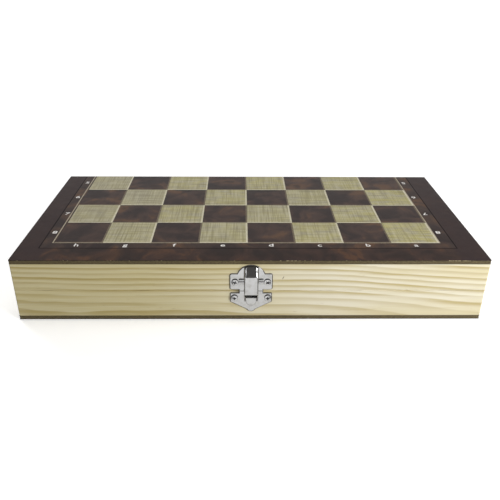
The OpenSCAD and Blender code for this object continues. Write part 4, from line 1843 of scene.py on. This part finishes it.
@dataclass
class SnapLatch:
    """The latch at the front: two plates, a sprung lever on its pin, and four pan-headed screws."""

    rim: float = 0.55 * MM
    other_edges: float = 0.07 * MM
    sheet_t: float = 0.65 * MM
    pin_r: float = 0.7 * MM
    screw: Screw = Screw(Head.PAN, head_r=2.2 * MM, head_h=1.0 * MM, shank_r=0.95 * MM, length=8.2 * MM,
                         recess_len=2.7 * MM, recess_w=0.8 * MM, recess_depth=0.8 * MM)
    upper_spacing: float = 19.8 * MM
    lower_spacing: float = 20.6 * MM
    upper_seed: int = 4
    lower_seed: int = 9
    coil_r: float = 1.05 * MM
    wire_r: float = 0.22 * MM
    coil_w: float = 6.0 * MM
    coil_turn: float = 4 * 360 + 178
    coil_steps: int = 200
    leg_steps: int = 4
    wire_sides: int = 12
    leg: float = 5.0 * MM
    window_half_w: float = 4.6 * MM
    window_half_h: float = 9.0 * MM
    roll_end: float = 7.6 * MM
    roll_half_h: float = 1.5 * MM
    screw_zone: float = 1.4 * MM
    sharp: float = 32.0
    shortest_edge: float = 0.3 * MM
    pin_chamfer: Pair = (0.12 * MM, 0.15 * MM)
    pin_steps: int = 28

    @property
    def pivot(self) -> Vector:
        """A point on the lever's axis, in the middle of the latch."""
        return joint_place("lever_hinge")

    def on_rim(self, place: Vector, spacing: float, screw_z: float) -> bool:
        """Whether a point of a plate's front belongs to its outline, not to its window, rolls or holes.

        Args:
            place: The point.
            spacing: Distance between the plate's two screws.
            screw_z: Height of the screws.

        Returns:
            True on the outline.
        """
        out = abs(place.x)
        off = abs(place.z - self.pivot.z)
        if out < self.window_half_w and off < self.window_half_h:
            return False
        if out < self.roll_end and off < self.roll_half_h:
            return False
        return math.hypot(out - spacing / 2, place.z - screw_z) > self.screw_zone

    def plate(self, half: Half, spacing: float, finishes: Finishes) -> Object:
        """A plate whose outer edge is rolled over towards the wood and painted darker there as shade, with
        its other edges barely broken.

        Args:
            half: The half that the plate is screwed to.
            spacing: Distance between its two screws.
            finishes: The box's materials.

        Returns:
            The plate, in place.
        """
        node = f"latch_{half.value}_plate"
        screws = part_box(f"latch_{half.value}_screws")
        screw_z = (screws[0].z + screws[1].z) / 2
        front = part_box(node)[1].y - self.sheet_t
        piece = cad_copy(node, f"{node}_sheet")
        draft = bmesh.new()
        draft.from_mesh(piece.data)
        draft.normal_update()
        weight = draft.edges.layers.float.new(EDGE_WEIGHT)
        looks_out = -0.95
        on_the_face = 0.01 * MM
        for line in draft.edges:
            if len(line.link_faces) != 2 or line.calc_face_angle() < math.radians(self.sharp):
                continue
            flat = any(f.normal.y < looks_out for f in line.link_faces)
            at_front = all(abs(v.co.y - front) < on_the_face for v in line.verts)
            middle = (line.verts[0].co + line.verts[1].co) / 2
            pressed = flat and at_front and line.is_convex and self.on_rim(middle, spacing, screw_z)
            if pressed:
                line[weight] = 1.0
            elif line.calc_length() > self.shortest_edge:
                line[weight] = self.other_edges / self.rim
        draft.to_mesh(piece.data)
        draft.free()
        piece.data.materials.append(finishes["nickel" if half is Half.UPPER else "lower_nickel"])
        # The rolled rim gets a darker nickel: painted shade along the plate's outline.
        piece.data.materials.append(finishes["rim_nickel_painted_shade"])
        return softened(piece, self.rim, segments=4, by_weight=True, rim=1)

    def pin(self) -> Object:
        """The lever's pin, its ends lightly chamfered."""
        low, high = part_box("latch_pin")
        half = (high.x - low.x) / 2
        inwards, along = self.pin_chamfer
        side = [(self.pin_r, half - along), (self.pin_r - inwards, half), (0.0, half)]
        return pin_along_x("lever_pin_rod", (low + high) / 2, side, self.pin_steps)

    def build(self, trees: tuple[Growth, Growth], spring: Growth, finishes: Finishes) -> None:
        """Makes the latch and puts it in place of its CAD nodes."""
        nickel = finishes["nickel"]
        face_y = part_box("latch_lower_plate")[1].y
        stand_up = turn(90, "X")
        upper = (Half.UPPER, self.upper_spacing, self.upper_seed)
        lower = (Half.LOWER, self.lower_spacing, self.lower_seed)
        for half, spacing, seed in (upper, lower):
            node = f"latch_{half.value}_plate"
            settled(self.plate(half, spacing, finishes), half.body, "nickel", node)
            node = f"latch_{half.value}_screws"
            low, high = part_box(node)
            place = Matrix.Translation((0.0, face_y - self.sheet_t, (low.z + high.z) / 2))
            row = ScrewRow(self.screw, seed, spacing=spacing)
            paints = (finishes["screw_nickel"], finishes["grime_and_shade"])
            piece = row.make(f"{node}_set", trees, *paints, stand_up, place)
            settled(piece, half.body, "nickel", node)
        lever = BentLever().make("lever_strip", face_y, self.pivot.z - BentLever.pivot[0] * MM, finishes)
        settled(lever, "latch_lever", "nickel", "latch_lever")
        settled(self.pin(), Half.UPPER.body, "nickel", "latch_pin", finish=nickel)
        coil = spring.grow("lever_spring_wire", {
            "Angle": math.radians(self.coil_turn), "Radius": self.coil_r, "Wire": self.wire_r,
            "Width": self.coil_w, "Leg": self.leg, "Leg Steps": self.leg_steps, "Coil Steps": self.coil_steps,
            "Sides": self.wire_sides, "Finish": finishes["wire"],
        })
        moved(smoothed(coil), Matrix.Translation(self.pivot))
        settled(coil, Half.UPPER.body, "spring_steel", "latch_spring", finish=finishes["wire"])


class Facing(Enum):
    """Which way a card looks: an angle and the axis that it is turned about."""

    UP = (0, "X")
    TO_THE_BOX = (90, "X")
    SIDEWAYS = (90, "Y")


@dataclass(frozen=True)
class Card:
    """A matt card that shows in reflections and nowhere else."""

    name: str
    shade: str
    half_x: float
    half_y: float
    place: Triple
    facing: Facing = Facing.UP

    def paint(self) -> Material:
        """The card's material."""
        paint = Paint(f"{self.name}_card")
        matt = paint.out("ShaderNodeBsdfDiffuse", {0: hex_colour(self.shade)})
        paint.add("ShaderNodeOutputMaterial", {0: matt})
        return paint.material

    def build(self) -> None:
        """Makes the card and puts it in its place."""
        draft = bmesh.new()
        bmesh.ops.create_grid(draft, x_segments=1, y_segments=1, size=1.0)
        card = from_draft(self.name, draft)
        size = Matrix.Diagonal((self.half_x, self.half_y, 1.0, 1.0))
        moved(card, size, Matrix.Translation(self.place) @ turn(*self.facing.value))
        card.data.materials.append(self.paint())
        card.visible_camera = False
        card.visible_diffuse = False
        card.visible_shadow = False
        card.visible_transmission = False


@dataclass(frozen=True)
class Lamp:
    """A square soft lamp, with its power in watts."""

    name: str
    place: Triple
    target: Triple
    size: float
    power: float
    mirrored: bool = True

    def build(self) -> None:
        """Hangs the lamp and points it at its target."""
        data = bpy.data.lights.new(self.name, "AREA")
        data.shape = "SQUARE"
        data.size = self.size
        data.energy = self.power
        lamp = linked(self.name, data)
        aim = (Vector(self.target) - Vector(self.place)).to_track_quat("-Z", "Y").to_matrix().to_4x4()
        lamp.matrix_world = Matrix.Translation(self.place) @ aim
        lamp.visible_glossy = self.mirrored


@dataclass(frozen=True)
class Camera:
    """The camera at the photograph's place, with its angles in degrees and its focal length in pixels."""

    place: Triple = (-6.46 * MM, -378.376 * MM, 206.475 * MM)
    pitch: float = 27.243
    yaw: float = 1.042
    roll: float = -0.498
    focal_px: float = 580.291
    image_px: float = 500.0
    sensor: float = 36.0
    nearest: float = 0.01

    def build(self) -> None:
        """Makes the camera and gives it to the scene."""
        data = bpy.data.cameras.new("camera")
        data.sensor_width = self.sensor
        data.lens = self.focal_px / self.image_px * self.sensor
        data.clip_start = self.nearest
        camera = linked("camera", data)
        aim = turn(-self.yaw, "Z") @ turn(90 - self.pitch, "X") @ turn(-self.roll, "Z")
        camera.matrix_world = Matrix.Translation(self.place) @ aim
        bpy.context.scene.camera = camera


@dataclass(frozen=True)
class Studio:
    """Floor, lamps, world and camera: a plain pale room in soft light."""

    world_light: float = 0.32
    floor_size: float = 6.0
    floor_drop: float = 0.05 * MM
    floor_shade: str = "#a8a8a6"
    floor_glow: Pair = (0.26, 0.8)
    glow_from: Pair = (160.0, 900.0)
    light_below: float = 0.9
    touching: Pair = (0.2 * MM, 0.15 * MM)
    cards: tuple[Card, ...] = (
        Card("flag_front", "#8c8a88", 1.0, 0.8, (0.3, -1.5, 0.79), Facing.TO_THE_BOX),
        Card("flag_right", "#7c7c7e", 0.3, 0.3, (0.55, -0.32, 0.3), Facing.SIDEWAYS),
        Card("flag_left", "#7c7c7e", 0.3, 0.26, (-0.5, -0.28, 0.3), Facing.SIDEWAYS),
        Card("flag_above", "#7c7c7e", 1.3, 0.7, (0.0, -0.9, 1.6)),
        Card("flag_back", "#848484", 2.2, 0.45, (0.0, 1.6, 1.05), Facing.TO_THE_BOX),
        Card("flag_low_left", "#a6a6a8", 0.1, 0.048, (-0.122, -0.122, 0.001)),
        Card("flag_low_right", "#a6a6a8", 0.1, 0.048, (0.122, -0.122, 0.001)),
        # Painted shade: a dark card on the floor under the latch, for the floor's shadow there as the lever's
        # lower slope reflects it.
        Card("flag_under", "#222224", 0.03, 0.0018, (0.0, -0.0747, 0.001)),
    )
    lamps: tuple[Lamp, ...] = (
        Lamp("key", (0.42, -0.42, 0.2), (0.03, -0.05, 0.02), size=0.22, power=2.6),
        Lamp("top", (-0.05, -0.05, 1.2), (0.0, 0.0, 0.0), size=1.0, power=4.0),
        Lamp("fill", (-0.9, 0.9, 0.75), (0.0, 0.0, 0.02), size=0.5, power=8.0, mirrored=False),
    )

    def world(self) -> None:
        """A soft grey dome for light, which is white wherever it is seen directly or in a reflection."""
        world = bpy.data.worlds.new("pale_room")
        world.use_nodes = True
        graph = Graph(world.node_tree)
        graph.tree.nodes.clear()
        path = graph.add("ShaderNodeLightPath").outputs
        mirrored = graph.math("MAXIMUM", path["Is Glossy Ray"], path["Is Transmission Ray"])
        seen = graph.math("MAXIMUM", path["Is Camera Ray"], mirrored)
        strength = graph.times_plus(seen, 1.0 - self.world_light, self.world_light)
        backdrop = graph.out("ShaderNodeBackground", {0: WHITE, 1: strength})
        graph.add("ShaderNodeOutputWorld", {0: backdrop})
        bpy.context.scene.world = world

    def floor_paint(self) -> Material:
        """The floor's material, which what rests on the floor and what is under it see in their own way."""
        paint = Paint("pale_floor")
        path = paint.add("ShaderNodeLightPath").outputs
        seen = paint.math("MAXIMUM", path["Is Camera Ray"], path["Is Glossy Ray"])
        white = paint.mix(seen, hex_colour(self.floor_shade), WHITE)
        matt = paint.out("ShaderNodeBsdfDiffuse", {0: white})
        x, y, _ = paint.split(paint.place())
        distance = paint.math("SQRT", paint.plus(paint.times(x, x), paint.times(y, y)))
        glow = paint.spread(paint.rise(distance, *self.glow_from), *self.floor_glow)
        glow = paint.out("ShaderNodeEmission", {0: WHITE, 1: glow})
        lit = paint.out("ShaderNodeAddShader", {0: matt, 1: glow})
        shown = paint.out("ShaderNodeMixShader", {0: seen, 1: matt, 2: lit})
        touching = paint.times(path["Is Diffuse Ray"], paint.rise(path["Ray Length"], *self.touching))
        open_air = paint.out("ShaderNodeEmission", {0: WHITE, 1: self.light_below})
        shown = paint.out("ShaderNodeMixShader", {0: touching, 1: shown, 2: open_air})
        clear = paint.out("ShaderNodeBsdfTransparent")
        below = paint.add("ShaderNodeNewGeometry").outputs["Backfacing"]
        through = paint.out("ShaderNodeMixShader", {0: below, 1: shown, 2: clear})
        paint.add("ShaderNodeOutputMaterial", {0: through})
        return paint.material

    def floor(self) -> None:
        """A pale floor that keeps the box's shadow, is white further off, and is looked through from below.

        What rests on it is lit from below as in open air, so that the underside can be seen.
        """
        draft = bmesh.new()
        bmesh.ops.create_grid(draft, x_segments=8, y_segments=8, size=self.floor_size / 2)
        floor = from_draft("floor", draft)
        moved(floor, shift(0.0, 0.0, -self.floor_drop))
        floor.data.materials.append(self.floor_paint())

    def build(self) -> None:
        """Sets up the room."""
        bpy.context.scene.view_settings.view_transform = "Standard"
        Camera().build()
        self.world()
        self.floor()
        for item in (*self.cards, *self.lamps):
            item.build()


def box_finishes() -> dict[str, Material]:
    """Every material of the box, by the name that the pieces know it by."""
    board = ChessPrint(Half.UPPER).squares()
    low, high = CAD_BOUNDS
    made = {
        "border": Burl("burl_border", calm_from=127.5 * MM, black="#201512", brown="#34231d", rust="#533724",
                       calm=("#25181a", "#2e1f1d")),
        "label_band": Burl("burl_label_band", black="#261b1a", brown="#3b2d27", rust="#5c412d"),
        "dark_square": Burl("burl_square", squares=board),
        "light_square": PaleVeneer("pale_square", board),
        "dark_line": PrintedLine("dark_line", "#0b0808", "#1b1414", shine=0.06),
        "pale_line": PrintedLine("pale_line", "#aca18c", "#857867"),
        "dark_edge": PrintedLine("dark_square_edge", "#695d4b", "#4b4035"),
        "light_edge": PrintedLine("light_square_edge", "#cbc5ac", "#aca588"),
        "ink": PrintedLine("label_ink", "#f2f0ec", "#c4beb5"),
        "inner_border": Burl("burl_inner_border"),
        "inner_ground": PaleVeneer("pale_inner_ground", Squares(low_x=-1.0, low_y=-1.0, size=2.0)),
        "dark_point": Burl("burl_point"),
        "warm_point": PrintedLine("warm_point", "#98542f", "#7c4427"),
        "lower_panel": Fibreboard("fibreboard_lower", skin_z=0.0),
        "upper_panel": Fibreboard("fibreboard_upper", skin_z=high.z, chips=((24.0, 9.0), (126.0, 20.0))),
        # The front rail is painted darker and yellower towards its left end, as shade where less light falls.
        "front_pine": Pine("pine_front", Grain.ALONG_X, heart=(-46.0, -3.0), shift=(130.0, 10.0, 0.0),
                           fall=(6.0, 20.0, 150.0), fleck=(19.5, 30.0), aged_from=(50.0, -75.0)),
        "back_pine": Pine("pine_back", Grain.ALONG_X, heart=(36.0, 60.0), shift=(420.0, 80.0, 9.0)),
        "left_pine": Pine("pine_left", Grain.ALONG_Y, heart=(-100.0, 4.0), shift=(230.0, 310.0, 5.0)),
        "right_pine": Pine("pine_right", Grain.ALONG_Y, heart=(98.0, 30.0), shift=(700.0, 150.0, 2.0)),
        "nickel": Nickel("nickel_plate"),
        # The lower plate carries painted shade beside the lever's tab.
        "lower_nickel": Nickel("nickel_lower_plate", dirt_beside=(3.1, 4.1, 12.6, 18.0)),
        # Darker nickel for the plates' rolled rims: painted shade.
        "rim_nickel_painted_shade": Nickel("nickel_rim", bright="#787674", dull="#686663", smooth=0.2),
        "lever_nickel": Nickel("nickel_lever", smooth=0.1),
        # Darker nickel for the lever's sides: painted shade.
        "lever_rim_painted_shade": Nickel("nickel_lever_rim", bright="#5f5d5a", dull="#4c4a47", smooth=0.15),
        "screw_nickel": Nickel("nickel_screw", smooth=0.16),
        # Dark nickel for screw recesses and the feet of pan heads: dirt and painted shade.
        "grime_and_shade": Nickel("nickel_grime", bright="#4a4846", dull="#2e2c29", smooth=0.4),
        "wire": DrawnWire("spring_wire"),
    }
    LOG.info("box from %s to %s", tuple(low), tuple(high))
    return {name: finish.make() for name, finish in made.items()}


def main() -> None:
    """Builds the finishes, the sub-assemblies and the room."""
    logging.basicConfig(level=logging.INFO, format="%(name)s: %(message)s")
    finishes = box_finishes()
    chess_field = chess_field_tree()
    points = points_tree()
    screw_trees = (screw_row_tree(), thread_tree())
    for half in Half:
        ChessPrint(half).build(chess_field, finishes)
        BackgammonPrint(half).build(points, finishes)
        WoodenTray(half).build(finishes)
    ButtHinges().build(screw_trees, finishes)
    SnapLatch().build(screw_trees, spring_tree(), finishes)
    Studio().build()


if __name__ == "__main__":
    main()
